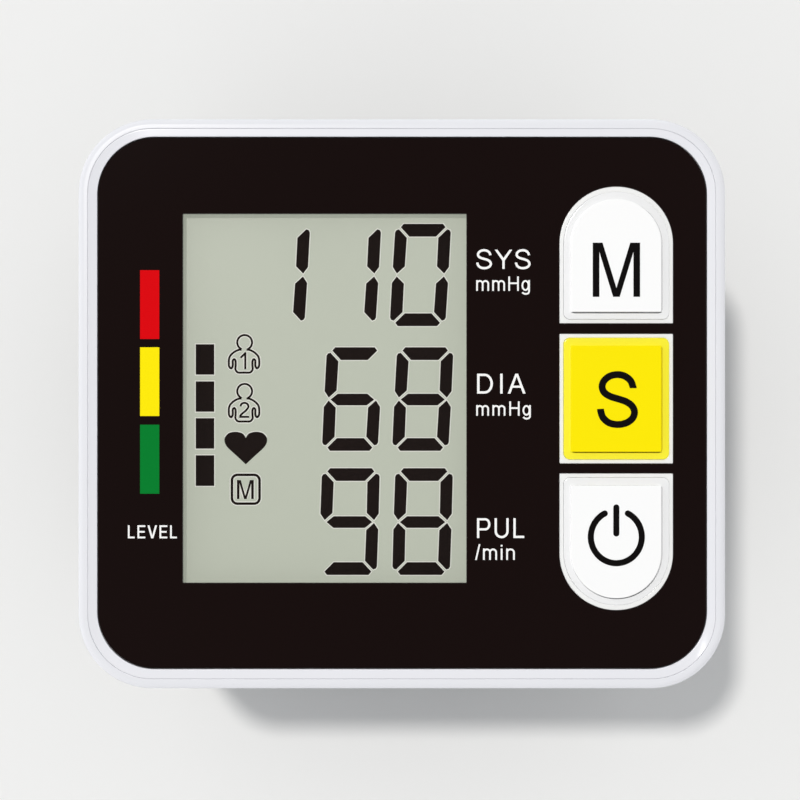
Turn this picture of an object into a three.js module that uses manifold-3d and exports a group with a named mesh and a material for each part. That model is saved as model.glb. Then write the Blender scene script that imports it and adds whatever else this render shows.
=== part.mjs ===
// Wrist blood pressure monitor: a display unit that stands, face up, on its closed wrist cuff.
// Millimetres. +Z is up, out of the display; +X is to the right of the face and +Y to its top.
// The origin is on the table, under the middle of the whole object.
import * as THREE from "three";
import { mergeVertices } from "three/addons/utils/BufferGeometryUtils.js";
import Module from "manifold-3d";

const wasm = await Module();
wasm.setup();

// Case
const caseWidth = 75;
const caseLength = 66;
const caseDepth = 28;
const caseCorner = 8.6;
const caseWall = 1.8;
const caseFloor = 1.6;
const caseBackRound = 2;
const caseRimRound = 0.8;
const lipWidth = 1.15;
const seamGap = 0.15;

// Front cover, printed panel and window
const coverThickness = 2.75;
const bandWidth = 0.8;
const panelGap = 0.1;
const panelRecess = 1.25;
const panelTape = 0.1;
const panelThickness = 0.9;
const windowLeftMargin = 12.15;
const windowRightMargin = 29.95;
const windowTopMargin = 11;
const windowBottomMargin = 12.25;
const windowCorner = 0.25;
const lensThickness = 0.8;
const lensOverlap = 1.2;
const lensTape = 0.1;

// Keys
const keyEdgeInset = 12.65;
const keyY = 0.62;
const keyCutoutWidth = 13.2;
const setCutoutLength = 15;
const endCutoutLength = 15.9;
const keyBar = 1.17;
const collarGap = 0.05;
const collarWidth = 0.4;
const keyClearance = 0.12;
const keyCorner = 0.9;
const keyBevel = 0.74;
const keyBevelRise = 0.3;
const keyStep = 0.3;
const keyProud = 0.85;
const keyFlange = 0.8;
const keyFlangeThickness = 1;
const keyWall = 1.2;
const keyRestGap = 0.25;
const keyTravel = 0.5;
const keyStemRadius = 1.4;
const sharpCorner = 0.12;

// Display cell and board
const lcdMargin = 1.7;
const lcdThickness = 2;
const lcdTopGap = 0.35;
const lcdFrameHeight = 3.1;
const lcdFrameWall = 1.2;
const lcdFrameLedge = 4;
const lcdFrameLip = 1;
const zebraWidth = 1.8;
const zebraEndGap = 3;
const boardThickness = 1.2;
const boardSideGap = 1;
const boardEndGap = 1.8;
const chipSize = 10;
const chipThickness = 1.4;
const chipGap = 0.3;
const chipY = -16;
const buzzerRadius = 4.5;
const buzzerHeight = 3.1;
const buzzerX = 2;
const buzzerEndGap = 0.9;
const switchSize = 6;
const switchHeight = 2.5;
const plungerRadius = 1.7;
const plungerProud = 0.8;
const plungerSink = 0.6;

// Screws and bosses
const bossInsetX = 6;
const bossInsetY = 5.6;
const bossWallGap = 0.3;
const bossRadius = 2.15;
const bossSplit = 14.3;
const screwHeadRadius = 1.75;
const screwHeadHeight = 1.3;
const screwShankRadius = 0.95;
const screwHeadSink = 0.15;
const screwClearance = 0.15;
const caseScrewLength = 19;
const boardScrewLength = 4.5;
const boardPostRadius = 2;
const boardPostInset = 2.5;
const boardPostGap = 0.3;

// Batteries, contacts and door
const cellDiameter = 10.5;
const cellLength = 44.5;
const cellNubRadius = 1.9;
const cellNubLength = 0.8;
const cellGap = 0.4;
const cellSideGap = 0.6;
const bayFloorRise = 0.95;
const bayY = -1;
const bayEndRoom = 1.9;
const bayWall = 1.2;
const bayCoverThickness = 1.2;
const bayCoverCorner = 1.5;
const contactThickness = 0.4;
const contactWidth = 8.6;
const contactHeight = 8;
const springWire = 0.4;
const springTurns = 2;
const springWideRadius = 3.4;
const springNarrowRadius = 1.8;
const doorExtraLength = 2.3;
const doorFlange = 0.5;
const doorRecess = 1;
const doorProud = 0.35;
const doorCorner = 1.6;
const doorGap = 0.15;
const tongueLength = 3;
const tongueWidth = 6;
const tongueThickness = 0.9;
const tongueSpacing = 24;
const gripCount = 4;
const gripPitch = 1.6;
const gripLength = 6;
const gripHeight = 0.35;

// Air pump, valve, sensor and hoses
const motorDiameter = 12;
const motorLength = 18;
const pumpSideGap = 9;
const pumpEndGap = 2.2;
const pumpHeadSize = 13.5;
const pumpHeadLength = 11;
const pumpHeadWall = 1.4;
const pumpHeadEnd = 2.4;
const sleeveThickness = 0.6;
const sleeveLength = 10;
const shaftRadius = 1;
const shaftReach = 4;
const crankRadius = 3.4;
const crankThickness = 1.4;
const crankPinRadius = 0.8;
const crankPinOffset = 1.6;
const crankPinLength = 1.4;
const diaphragmThickness = 1.2;
const nozzleRadius = 1.4;
const nozzleLength = 3.6;
const valveWidth = 9.5;
const valveLength = 15;
const valveHeight = 9;
const valveBore = 2.2;
const valveEnd = 1;
const valvePlungerGap = 0.25;
const valvePlungerLength = 11;
const valveTravel = 0.8;
const valvePumpGap = 2.45;
const portY = -2.5;
const portRadius = 1.5;
const portFlangeRadius = 4;
const portRise = 3.8;
const manifoldRadius = 2.6;
const barbLength = 2.8;
const topBarbLength = 1.6;
const sensorSize = 7;
const sensorHeight = 3.3;
const sensorNozzleLength = 1.5;
const hoseSlip = 0.25;
const hoseWall = 0.75;
const hoseStraight = 8;
const valveHoseGap = 2.5;
const leadRadius = 0.45;
const leadSpacing = 4;

// Cuff
const cuffSideInset = 4.5;
const wristWidth = 47;
const wristHeight = 38;
const wristCorner = 15;
const liningThickness = 0.9;
const bladderThickness = 1.4;
const formerThickness = 0.7;
const outerThickness = 1.4;
const layerGap = 0.2;
const bindingThickness = 0.6;
const bindingGap = 0.1;
const bindingReach = 2.4;
const bladderSideGap = 5;
const formerSideGap = 3;
const shortEndGap = 1.5;
const innerLayerEnd = 3;
const bladderTail = 16;
const tailSideInset = 4;
const tailCorner = 10;
const tailThickness = 1.6;
const tailWrap = 38;
const hookThickness = 0.7;
const hookSideGap = 4;
const hookEndAngle = 4;
const plateWidth = 30;
const plateLength = 16;
const plateThickness = 1.6;
const plateScrewSpacing = 18;
const plateScrewOffset = -3.5;
const plateScrewShank = 0.8;
const plateScrewHead = 1.5;
const plateScrewHeadHeight = 1.2;

// Clearances that many seats share
const seatGap = 0.15;
const tightGap = 0.1;
const cutMargin = 1;

// Roundness of the faceted curves
const cornerSteps = 8;
const smallCornerSteps = 3;
const smallRadius = 2;
const roundSteps = 4;
const rodSides = 16;
const thinRodSides = 10;
const hoseSides = 8;

// Levels in the unit, measured up from its back face
const coverUnderside = caseDepth - coverThickness;
const recessFloor = caseDepth - panelRecess;
const panelBottom = recessFloor + panelTape;
const panelTop = panelBottom + panelThickness;
const lensTop = recessFloor;
const lensBottom = lensTop - lensThickness;
const lensPocketFloor = lensBottom - lensTape;
const lcdTop = coverUnderside - lcdTopGap;
const lcdBottom = lcdTop - lcdThickness;
const boardTop = lcdBottom - tightGap - lcdFrameHeight - tightGap;
const boardBottom = boardTop - boardThickness;
const keyTop = panelTop + keyProud;
const keyFlangeTop = coverUnderside - keyRestGap;
const keyFlangeBottom = keyFlangeTop - keyFlangeThickness;
const switchTop = boardTop + tightGap + switchHeight;
const plungerTop = switchTop + plungerProud;
const switchWell = plungerSink + keyTravel + tightGap;
const bayFloor = caseFloor + bayFloorRise;
const cellHeight = bayFloor + seatGap + cellDiameter / 2;
const bayTop = cellHeight + cellDiameter / 2 + seatGap;
const floorSeat = caseFloor + seatGap;
const airLevel = floorSeat + valveHeight / 2;

// Places in the unit, seen from the front
const innerWidth = caseWidth - 2 * caseWall;
const innerLength = caseLength - 2 * caseWall;
const windowWidth = caseWidth - windowLeftMargin - windowRightMargin;
const windowLength = caseLength - windowTopMargin - windowBottomMargin;
const windowX = (windowLeftMargin - windowRightMargin) / 2;
const windowY = (windowBottomMargin - windowTopMargin) / 2;
const keyX = caseWidth / 2 - keyEdgeInset;
const coverInset = lipWidth + seamGap;
const panelInset = coverInset + bandWidth + panelGap;
const holeInset = collarGap + collarWidth;
const capInset = holeInset + keyClearance;
const cellOuterX = -innerWidth / 2 + cellSideGap + cellDiameter / 2;
const cellInnerX = cellOuterX + cellDiameter + cellGap;
const bayInnerX = cellInnerX + cellDiameter / 2 + seatGap;
const bayOuterX = bayInnerX + bayWall;
const bayLength = cellLength + 2 * bayEndRoom;
const bayLow = bayY - bayLength / 2;
const bayHigh = bayY + bayLength / 2;
const doorLength = cellLength + doorExtraLength;
const doorOpeningLength = doorLength - 2 * doorFlange;
const doorOpeningLow = bayFloor;
const doorOpeningHigh = bayTop;
const bossX = caseWidth / 2 - bossInsetX;
const bossY = caseLength / 2 - bossInsetY;
const bayBossX = bayOuterX + bossRadius + bossWallGap;
const bayBossY = innerLength / 2 - bossRadius - bossWallGap;
const bossPlaces = [
  [bossX, bossY],
  [bayBossX, bayBossY],
  [bayBossX, -bayBossY],
  [bossX, -bossY],
];
const boardWidth = 2 * (bossX - bossRadius - boardSideGap);
const boardLength = innerLength - 2 * boardEndGap;
const lcdFrameReach = windowWidth / 2 + lcdMargin + lcdFrameWall;
const boardPostX = windowX + lcdFrameReach + boardPostGap + boardPostRadius;
const boardPostPlaces = [1, -1].map((end) => [boardPostX, end * (boardLength / 2 - boardPostInset)]);
const chipX = bayOuterX + chipGap + chipSize / 2;
const buzzerY = boardLength / 2 - buzzerEndGap - buzzerRadius;
const hoseBore = nozzleRadius + hoseSlip;
const hoseRadius = hoseBore + hoseWall;
const pumpX = innerWidth / 2 - pumpSideGap - pumpHeadSize / 2;
const pumpHeight = floorSeat + Math.max(pumpHeadSize / 2, motorDiameter / 2 + seatGap + sleeveThickness);
const motorBack = innerLength / 2 - pumpEndGap;
const motorFront = motorBack - motorLength;
const headBack = motorFront - seatGap;
const headFront = headBack - pumpHeadLength;
const portX = pumpX - pumpHeadSize / 2 - valvePumpGap - valveWidth / 2;
const valveFront = portY + manifoldRadius + barbLength + valveHoseGap + nozzleLength;

// Places in the cuff, across the wrist: y along the unit's length and z up from the table
const cuffWidth = caseWidth - 2 * cuffSideInset;
const tailWidth = cuffWidth - 2 * tailSideInset;
const cuffThickness = liningThickness + bladderThickness + formerThickness + outerThickness + 3 * layerGap;
const bindingOut = bindingGap + bindingThickness;
const cuffBottom = bindingOut;
const wristHalf = wristWidth / 2;
const lowTurn = cuffBottom + cuffThickness + wristCorner;
const highTurn = lowTurn + wristHeight - 2 * wristCorner;
const cuffTop = highTurn + wristCorner + cuffThickness;
const tailInner = cuffThickness - tailThickness;
const hookInner = tailInner - layerGap - hookThickness;
const tailShift = cuffThickness + bindingOut + layerGap - hookInner;
const plateBottom = cuffTop + tightGap;
const unitBase = plateBottom + plateThickness + tightGap;

// Finishes
function finish(color, roughness, metalness = 0) {
  return new THREE.MeshStandardMaterial({ color, roughness, metalness });
}

const whitePlastic = finish(0xf0f1f5, 0.4);
const blackPanel = finish(0x19100f, 0.25);
const clearAcrylic = new THREE.MeshStandardMaterial({
  color: 0xf4f6f4,
  roughness: 0.05,
  transparent: true,
  opacity: 0.2,
});
const displayGlass = finish(0xbdc2b3, 0.3);
const keyWhite = finish(0xffffff, 0.35);
const keyYellow = finish(0xfbe810, 0.35);
const boardGreen = finish(0x1f6b3a, 0.5);
const blackPlastic = finish(0x1c1c1e, 0.5);
const steel = finish(0xc4c6c8, 0.3, 1);
const brass = finish(0xc9a95a, 0.35, 1);
const greyRubber = finish(0x8d8f92, 0.8);
const hoseRubber = finish(0xd8d9d4, 0.6);
const cellJacket = finish(0x3f5f8a, 0.4);
const cuffFabric = finish(0x3c3f45, 0.95);
const liningFabric = finish(0x5a5d63, 0.95);
const bindingTape = finish(0x2a2c30, 0.95);
const hookTape = finish(0x232427, 0.9);
const bladderFilm = finish(0xcfc9b8, 0.6);
const formerSheet = finish(0xe4e4e0, 0.5);
const leadRed = finish(0xb02020, 0.5);
const leadBlack = finish(0x202022, 0.5);

// Solids: a closed geometry becomes a solid for joins and cuts, and a geometry again
function solidOf(geometry) {
  const loose = geometry.index ? geometry.toNonIndexed() : geometry.clone();
  loose.deleteAttribute("normal");
  loose.deleteAttribute("uv");
  const merged = mergeVertices(loose);
  return new wasm.Manifold(
    new wasm.Mesh({
      numProp: 3,
      vertProperties: merged.attributes.position.array,
      triVerts: new Uint32Array(merged.index.array),
    }),
  );
}

function geometryOf(solid) {
  const mesh = solid.getMesh();
  const geometry = new THREE.BufferGeometry();
  geometry.setAttribute("position", new THREE.BufferAttribute(mesh.vertProperties, 3));
  geometry.setIndex(new THREE.BufferAttribute(mesh.triVerts, 1));
  return geometry;
}

function join(...geometries) {
  return geometryOf(geometries.map(solidOf).reduce((whole, next) => whole.add(next)));
}

function cut(geometry, ...tools) {
  return geometryOf(tools.map(solidOf).reduce((left, tool) => left.subtract(tool), solidOf(geometry)));
}

// Basic forms
function block(x0, x1, y0, y1, z0, z1) {
  const box = new THREE.BoxGeometry(x1 - x0, y1 - y0, z1 - z0);
  return box.translate((x0 + x1) / 2, (y0 + y1) / 2, (z0 + z1) / 2);
}

// A round bar that stands along Z
function post(radius, x, y, z0, z1, sides = rodSides) {
  const bar = new THREE.CylinderGeometry(radius, radius, z1 - z0, sides);
  return bar.rotateX(Math.PI / 2).translate(x, y, (z0 + z1) / 2);
}

// A round bar that lies along Y
function bar(radius, x, z, y0, y1, sides = rodSides) {
  return new THREE.CylinderGeometry(radius, radius, y1 - y0, sides).translate(x, (y0 + y1) / 2, z);
}

// An outline of points, carried up Z
function prism(outline, z0, z1) {
  const options = { depth: z1 - z0, bevelEnabled: false };
  return new THREE.ExtrudeGeometry(new THREE.Shape(outline), options).translate(0, 0, z0);
}

// An outline drawn across the wrist, as (y, z), and carried along X
function prismAlongX(outline, x0, x1) {
  const turn = new THREE.Matrix4().makeBasis(
    new THREE.Vector3(0, 1, 0),
    new THREE.Vector3(0, 0, 1),
    new THREE.Vector3(1, 0, 0),
  );
  return prism(outline, x0, x1).applyMatrix4(turn);
}

function turnPoints(x, y, radius, from, to) {
  const steps = radius < smallRadius ? smallCornerSteps : cornerSteps;
  return [...Array(steps + 1).keys()].map((i) => {
    const angle = from + ((to - from) * i) / steps;
    return new THREE.Vector2(x + radius * Math.cos(angle), y + radius * Math.sin(angle));
  });
}

// A rectangle round (x, y) whose lower and upper corners each have their own round
function roundedOutline(width, length, lowRound, highRound, x, y) {
  const right = x + width / 2;
  const left = x - width / 2;
  const high = y + length / 2;
  const low = y - length / 2;
  const points = [
    ...turnPoints(right - lowRound, low + lowRound, lowRound, -Math.PI / 2, 0),
    ...turnPoints(right - highRound, high - highRound, highRound, 0, Math.PI / 2),
    ...turnPoints(left + highRound, high - highRound, highRound, Math.PI / 2, Math.PI),
    ...turnPoints(left + lowRound, low + lowRound, lowRound, Math.PI, 1.5 * Math.PI),
  ];
  return points.filter((point, i) => point.distanceTo(points.at(i - 1)) > 1e-6);
}

function roundedRectangle(width, length, radius, x = 0, y = 0) {
  return roundedOutline(width, length, radius, radius, x, y);
}

// The case outline, drawn in by an inset
function caseOutline(inset) {
  return roundedRectangle(caseWidth - 2 * inset, caseLength - 2 * inset, caseCorner - inset);
}

// A skin through outlines of equal point counts at rising heights, closed by a fan at each end
function loft(sections) {
  const rings = sections.map(({ outline, height }) =>
    outline.map((point) => new THREE.Vector3(point.x, point.y, height)),
  );
  const count = rings[0].length;
  const vertices = rings.flat();
  const triangles = [];
  rings.slice(1).forEach((ring, level) => {
    for (let i = 0; i < count; i++) {
      const next = (i + 1) % count;
      const low = level * count;
      const high = low + count;
      triangles.push(low + i, low + next, high + next, low + i, high + next, high + i);
    }
  });
  [rings[0], rings.at(-1)].forEach((ring, end) => {
    const centre = ring.reduce((sum, p) => sum.add(p), new THREE.Vector3()).divideScalar(count);
    const hub = vertices.push(centre) - 1;
    const start = end ? (rings.length - 1) * count : 0;
    for (let i = 0; i < count; i++) {
      const next = (i + 1) % count;
      triangles.push(hub, start + (end ? i : next), start + (end ? next : i));
    }
  });
  const geometry = new THREE.BufferGeometry().setFromPoints(vertices);
  return geometry.setIndex(triangles);
}

// Scene graph: the unit stands on the cuff, and the whole is centred on the origin
const monitor = new THREE.Group();
const unit = new THREE.Group();
const cuff = new THREE.Group();
monitor.add(unit, cuff);
unit.position.set((doorProud + gripHeight) / 2, 0, unitBase);
cuff.position.set((doorProud + gripHeight) / 2, 0, 0);

function piece(group, name, geometry, material, x = 0, y = 0, z = 0) {
  const mesh = new THREE.Mesh(geometry, material.clone());
  mesh.name = name;
  mesh.position.set(x, y, z);
  group.add(mesh);
}

// Screws, head down at the origin's level and shank up
function screw(headRadius, headHeight, shankRadius, length) {
  const head = post(headRadius, 0, 0, 0, headHeight, thinRodSides + 2);
  const shank = post(shankRadius, 0, 0, headHeight / 2, headHeight + length, thinRodSides);
  const driveWidth = shankRadius / 2;
  const driveLength = headRadius;
  const driveDepth = headHeight / 2;
  const drives = [
    block(-driveLength / 2, driveLength / 2, -driveWidth / 2, driveWidth / 2, -cutMargin, driveDepth),
    block(-driveWidth / 2, driveWidth / 2, -driveLength / 2, driveLength / 2, -cutMargin, driveDepth),
  ];
  return cut(join(head, shank), ...drives);
}

// Rear housing: a deep tub with the battery bay, the screw bosses and the air hole
function rearHousing() {
  const quarter = (i) => (i / roundSteps) * (Math.PI / 2);
  const steps = [...Array(roundSteps + 1).keys()];
  const back = steps.map((i) => ({
    outline: caseOutline(caseBackRound * (1 - Math.sin(quarter(i)))),
    height: caseBackRound * (1 - Math.cos(quarter(i))),
  }));
  const rim = steps.map((i) => ({
    outline: caseOutline(caseRimRound * (1 - Math.cos(quarter(i)))),
    height: caseDepth - caseRimRound * (1 - Math.sin(quarter(i))),
  }));
  const tub = cut(
    loft([...back, ...rim]),
    prism(caseOutline(caseWall), caseFloor, coverUnderside),
    prism(caseOutline(lipWidth), coverUnderside - tightGap, caseDepth + cutMargin),
  );
  const wallLeft = -caseWidth / 2 + caseWall / 2;
  const walls = [
    block(wallLeft, bayOuterX, bayLow - bayWall, bayLow, caseFloor / 2, bayTop),
    block(wallLeft, bayOuterX, bayHigh, bayHigh + bayWall, caseFloor / 2, bayTop),
    block(bayInnerX, bayOuterX, bayLow - bayWall, bayHigh + bayWall, caseFloor / 2, bayTop),
    block(wallLeft, bayOuterX, bayLow, bayHigh, caseFloor / 2, bayFloor),
  ];
  const bosses = bossPlaces.map(([x, y]) => post(bossRadius, x, y, caseFloor / 2, bossSplit - tightGap));
  const headPocket = screwHeadSink + screwHeadHeight + tightGap;
  const screwHoles = bossPlaces.flatMap(([x, y]) => [
    post(screwShankRadius + screwClearance, x, y, -cutMargin, bossSplit + cutMargin),
    post(screwHeadRadius + screwClearance, x, y, -cutMargin, headPocket),
  ]);
  const plateHoles = plateScrewPlaces().map(([x, y]) =>
    post(plateScrewShank + screwClearance, x, y, -cutMargin, caseFloor + cutMargin),
  );
  const openingHeight = doorOpeningHigh - doorOpeningLow;
  const doorMiddle = (doorOpeningHigh + doorOpeningLow) / 2;
  const left = -caseWidth / 2;
  const doorRecessOutline = roundedRectangle(
    doorLength + 2 * doorGap,
    openingHeight + 2 * (doorFlange + doorGap),
    doorCorner + doorGap,
    bayY,
    doorMiddle,
  );
  const doorOpening = roundedRectangle(
    doorOpeningLength,
    openingHeight,
    doorCorner - doorFlange,
    bayY,
    doorMiddle,
  );
  return cut(
    join(tub, ...walls, ...bosses),
    ...screwHoles,
    ...plateHoles,
    post(portRadius + screwClearance, portX, portY, -cutMargin, caseFloor + cutMargin),
    prismAlongX(doorRecessOutline, left - cutMargin, left + doorRecess),
    prismAlongX(doorOpening, left - cutMargin, left + caseWall + tightGap),
  );
}

// Key outlines: the two end keys have a round outer end, and the middle key is square
const endKeyOffset = setCutoutLength / 2 + keyBar + endCutoutLength / 2;
const keys = [
  { name: "memory", middle: keyY + endKeyOffset, length: endCutoutLength, roundEnd: 1, material: keyWhite },
  { name: "set", middle: keyY, length: setCutoutLength, roundEnd: 0, material: keyYellow },
  { name: "power", middle: keyY - endKeyOffset, length: endCutoutLength, roundEnd: -1, material: keyWhite },
];

function keyOutline(key, inset, corner) {
  const width = keyCutoutWidth - 2 * inset;
  const length = key.length - 2 * inset;
  const lowRound = key.roundEnd < 0 ? width / 2 : corner;
  const highRound = key.roundEnd > 0 ? width / 2 : corner;
  return roundedOutline(width, length, lowRound, highRound, keyX, key.middle);
}

// Front cover: a plate with the panel's recess, a collar round each key, the window and the posts below
function frontHousing() {
  const windowAt = (grow) =>
    roundedRectangle(windowWidth + 2 * grow, windowLength + 2 * grow, windowCorner + grow, windowX, windowY);
  const recessInset = coverInset + bandWidth;
  const plate = cut(
    prism(caseOutline(coverInset), coverUnderside, caseDepth),
    prism(caseOutline(recessInset), recessFloor, caseDepth + cutMargin),
  );
  const collars = keys.map((key) =>
    prism(keyOutline(key, collarGap, sharpCorner), coverUnderside, panelTop - collarGap),
  );
  const holes = keys.map((key) =>
    prism(keyOutline(key, holeInset, keyCorner), coverUnderside - cutMargin, caseDepth + cutMargin),
  );
  const rootHeight = recessFloor - panelTape;
  const bosses = bossPlaces.map(([x, y]) => post(bossRadius, x, y, bossSplit + tightGap, rootHeight));
  const posts = boardPostPlaces.map(([x, y]) => post(boardPostRadius, x, y, boardTop + tightGap, rootHeight));
  const threadRadius = screwShankRadius + screwClearance;
  const caseThread = [bossSplit - cutMargin, caseScrewTip() + seatGap];
  const boardThread = [boardTop - cutMargin, boardScrewTip() + seatGap];
  const threads = [
    ...bossPlaces.map(([x, y]) => post(threadRadius, x, y, ...caseThread)),
    ...boardPostPlaces.map(([x, y]) => post(threadRadius, x, y, ...boardThread)),
  ];
  return cut(
    join(plate, ...collars, ...bosses, ...posts),
    ...holes,
    ...threads,
    prism(windowAt(lensOverlap + tightGap), lensPocketFloor, recessFloor + cutMargin),
    prism(windowAt(lensOverlap / 2), coverUnderside - cutMargin, recessFloor),
  );
}

function frontPanel() {
  const window = roundedRectangle(windowWidth, windowLength, windowCorner, windowX, windowY);
  const through = [panelBottom - cutMargin, panelTop + cutMargin];
  return cut(
    prism(caseOutline(panelInset), panelBottom, panelTop),
    ...keys.map((key) => prism(keyOutline(key, 0, sharpCorner), ...through)),
    prism(window, ...through),
  );
}

function displayWindow() {
  const lens = roundedRectangle(
    windowWidth + 2 * lensOverlap,
    windowLength + 2 * lensOverlap,
    windowCorner + lensOverlap,
    windowX,
    windowY,
  );
  return prism(lens, lensBottom, lensTop);
}

// A key cap: a hollow cap with a bevelled shoulder and a raised face, a flange below the cover and a stem
function keyCap(key) {
  const shoulder = keyTop - keyStep - keyBevelRise;
  const body = loft([
    { outline: keyOutline(key, capInset, keyCorner), height: keyFlangeBottom },
    { outline: keyOutline(key, capInset, keyCorner), height: shoulder },
    { outline: keyOutline(key, capInset + keyBevel, sharpCorner), height: shoulder + keyBevelRise },
    { outline: keyOutline(key, capInset + keyBevel, sharpCorner), height: keyTop },
  ]);
  const flange = prism(keyOutline(key, capInset - keyFlange, keyCorner), keyFlangeBottom, keyFlangeTop);
  const hollowOutline = keyOutline(key, capInset + keyWall, sharpCorner);
  const hollow = prism(hollowOutline, keyFlangeBottom - cutMargin, keyTop - keyWall);
  const stemSpan = [plungerTop + tightGap, keyTop - keyWall / 2];
  const stem = post(keyStemRadius, keyX, key.middle, ...stemSpan, thinRodSides);
  return join(cut(join(body, flange), hollow), stem);
}

function addFace() {
  piece(unit, "rear_housing", rearHousing(), whitePlastic);
  piece(unit, "front_housing", frontHousing(), whitePlastic);
  piece(unit, "front_panel", frontPanel(), blackPanel);
  piece(unit, "display_window", displayWindow(), clearAcrylic);
  for (const key of keys) piece(unit, `button_${key.name}`, keyCap(key), key.material);
}

// Screws: four hold the case, two hold the board to the cover and two hold the cuff plate
function caseScrewTip() {
  return screwHeadSink + screwHeadHeight + caseScrewLength;
}

function boardScrewTip() {
  return boardBottom - tightGap + boardScrewLength;
}

function plateScrewPlaces() {
  return [-1, 1].map((side) => [portX + (side * plateScrewSpacing) / 2, portY + plateScrewOffset]);
}

function addScrews() {
  bossPlaces.forEach(([x, y], i) => {
    const long = screw(screwHeadRadius, screwHeadHeight, screwShankRadius, caseScrewLength);
    piece(unit, `case_screw_${i + 1}`, long, steel, x, y, screwHeadSink);
  });
  boardPostPlaces.forEach(([x, y], i) => {
    const short = screw(screwHeadRadius, screwHeadHeight, screwShankRadius, boardScrewLength);
    piece(unit, `board_screw_${i + 1}`, short, steel, x, y, boardBottom - tightGap - screwHeadHeight);
  });
  plateScrewPlaces().forEach(([x, y], i) => {
    const length = caseFloor + plateThickness;
    const down = screw(plateScrewHead, plateScrewHeadHeight, plateScrewShank, length).rotateX(Math.PI);
    piece(unit, `cuff_plate_screw_${i + 1}`, down, steel, x, y, floorSeat + plateScrewHeadHeight);
  });
}

// Display cell in its frame, the elastomer strip that connects it, and the board with what it carries
function addElectronics() {
  const cellWidth = windowWidth + 2 * lcdMargin;
  const cellHigh = windowLength + 2 * lcdMargin;
  const area = (grow, z0, z1) =>
    block(
      windowX - cellWidth / 2 - grow,
      windowX + cellWidth / 2 + grow,
      windowY - cellHigh / 2 - grow,
      windowY + cellHigh / 2 + grow,
      z0,
      z1,
    );
  piece(unit, "lcd_cell", area(0, lcdBottom, lcdTop), displayGlass);
  const frameBottom = boardTop + tightGap;
  const frame = cut(
    area(lcdFrameWall, frameBottom, lcdBottom + lcdFrameLip),
    area(seatGap, lcdBottom - tightGap, lcdTop),
    area(-lcdFrameLedge, frameBottom - cutMargin, lcdTop),
  );
  piece(unit, "lcd_frame", frame, whitePlastic);
  const stripX = windowX - cellWidth / 2 + lcdFrameLedge + seatGap + zebraWidth / 2;
  const stripHalf = cellHigh / 2 - lcdFrameLedge - zebraEndGap;
  const stripTop = lcdBottom - tightGap;
  const strip = block(-zebraWidth / 2, zebraWidth / 2, -stripHalf, stripHalf, frameBottom, stripTop);
  piece(unit, "zebra_strip", strip, greyRubber, stripX, windowY);

  const screwHole = screwShankRadius + screwClearance;
  const holeSpan = [boardBottom - cutMargin, boardTop + cutMargin];
  const board = cut(
    block(-boardWidth / 2, boardWidth / 2, -boardLength / 2, boardLength / 2, boardBottom, boardTop),
    ...boardPostPlaces.map(([x, y]) => post(screwHole, x, y, ...holeSpan, thinRodSides)),
    ...bossPlaces.map(([x, y]) => post(bossRadius + boardSideGap, x, y, ...holeSpan)),
  );
  piece(unit, "main_board", board, boardGreen);
  const chip = block(-chipSize / 2, chipSize / 2, -chipSize / 2, chipSize / 2, -chipThickness, 0);
  piece(unit, "processor_chip", chip, blackPlastic, chipX, chipY, boardBottom - tightGap);
  const buzzer = post(buzzerRadius, 0, 0, -buzzerHeight, 0);
  piece(unit, "buzzer", buzzer, blackPlastic, buzzerX, buzzerY, boardBottom - tightGap);

  for (const key of keys) {
    const half = switchSize / 2;
    const base = cut(
      block(-half, half, -half, half, boardTop + tightGap, switchTop),
      post(plungerRadius + seatGap, 0, 0, switchTop - switchWell, switchTop + cutMargin, thinRodSides),
    );
    piece(unit, `switch_base_${key.name}`, base, blackPlastic, keyX, key.middle);
    const plunger = post(plungerRadius, 0, 0, switchTop - plungerSink, plungerTop, thinRodSides);
    piece(unit, `switch_plunger_${key.name}`, plunger, blackPlastic, keyX, key.middle);
  }
}

// One conical contact spring along +Y from its plate, drawn as one tube round a shrinking helix
function contactSpring(length) {
  const stepsPerTurn = 10;
  const sides = 5;
  const steps = springTurns * stepsPerTurn;
  const wire = springWire / 2;
  const line = [...Array(steps + 1).keys()].map((i) => {
    const share = i / steps;
    const angle = share * springTurns * 2 * Math.PI;
    const radius = springWideRadius + (springNarrowRadius - springWideRadius) * share;
    const along = wire + share * (length - springWire);
    return new THREE.Vector3(radius * Math.cos(angle), along, radius * Math.sin(angle));
  });
  const apart = line.slice(stepsPerTurn).map((p, i) => p.distanceTo(line[i]));
  console.log(`contact spring, least gap between turns: ${(Math.min(...apart) - springWire).toFixed(2)} mm`);
  const vertices = line.flatMap((p) => {
    const outward = new THREE.Vector3(p.x, 0, p.z).normalize();
    return [...Array(sides).keys()].map((k) => {
      const angle = (k / sides) * 2 * Math.PI;
      const radial = outward.clone().multiplyScalar(wire * Math.cos(angle));
      return new THREE.Vector3(0, wire * Math.sin(angle), 0).add(radial).add(p);
    });
  });
  const triangles = [];
  for (let i = 0; i < steps; i++) {
    for (let k = 0; k < sides; k++) {
      const a = i * sides + k;
      const b = i * sides + ((k + 1) % sides);
      triangles.push(a, b, a + sides, b, b + sides, a + sides);
    }
  }
  for (let k = 1; k < sides - 1; k++) {
    triangles.push(0, k + 1, k);
    triangles.push(steps * sides, steps * sides + k, steps * sides + k + 1);
  }
  return new THREE.BufferGeometry().setFromPoints(vertices).setIndex(triangles);
}

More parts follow.
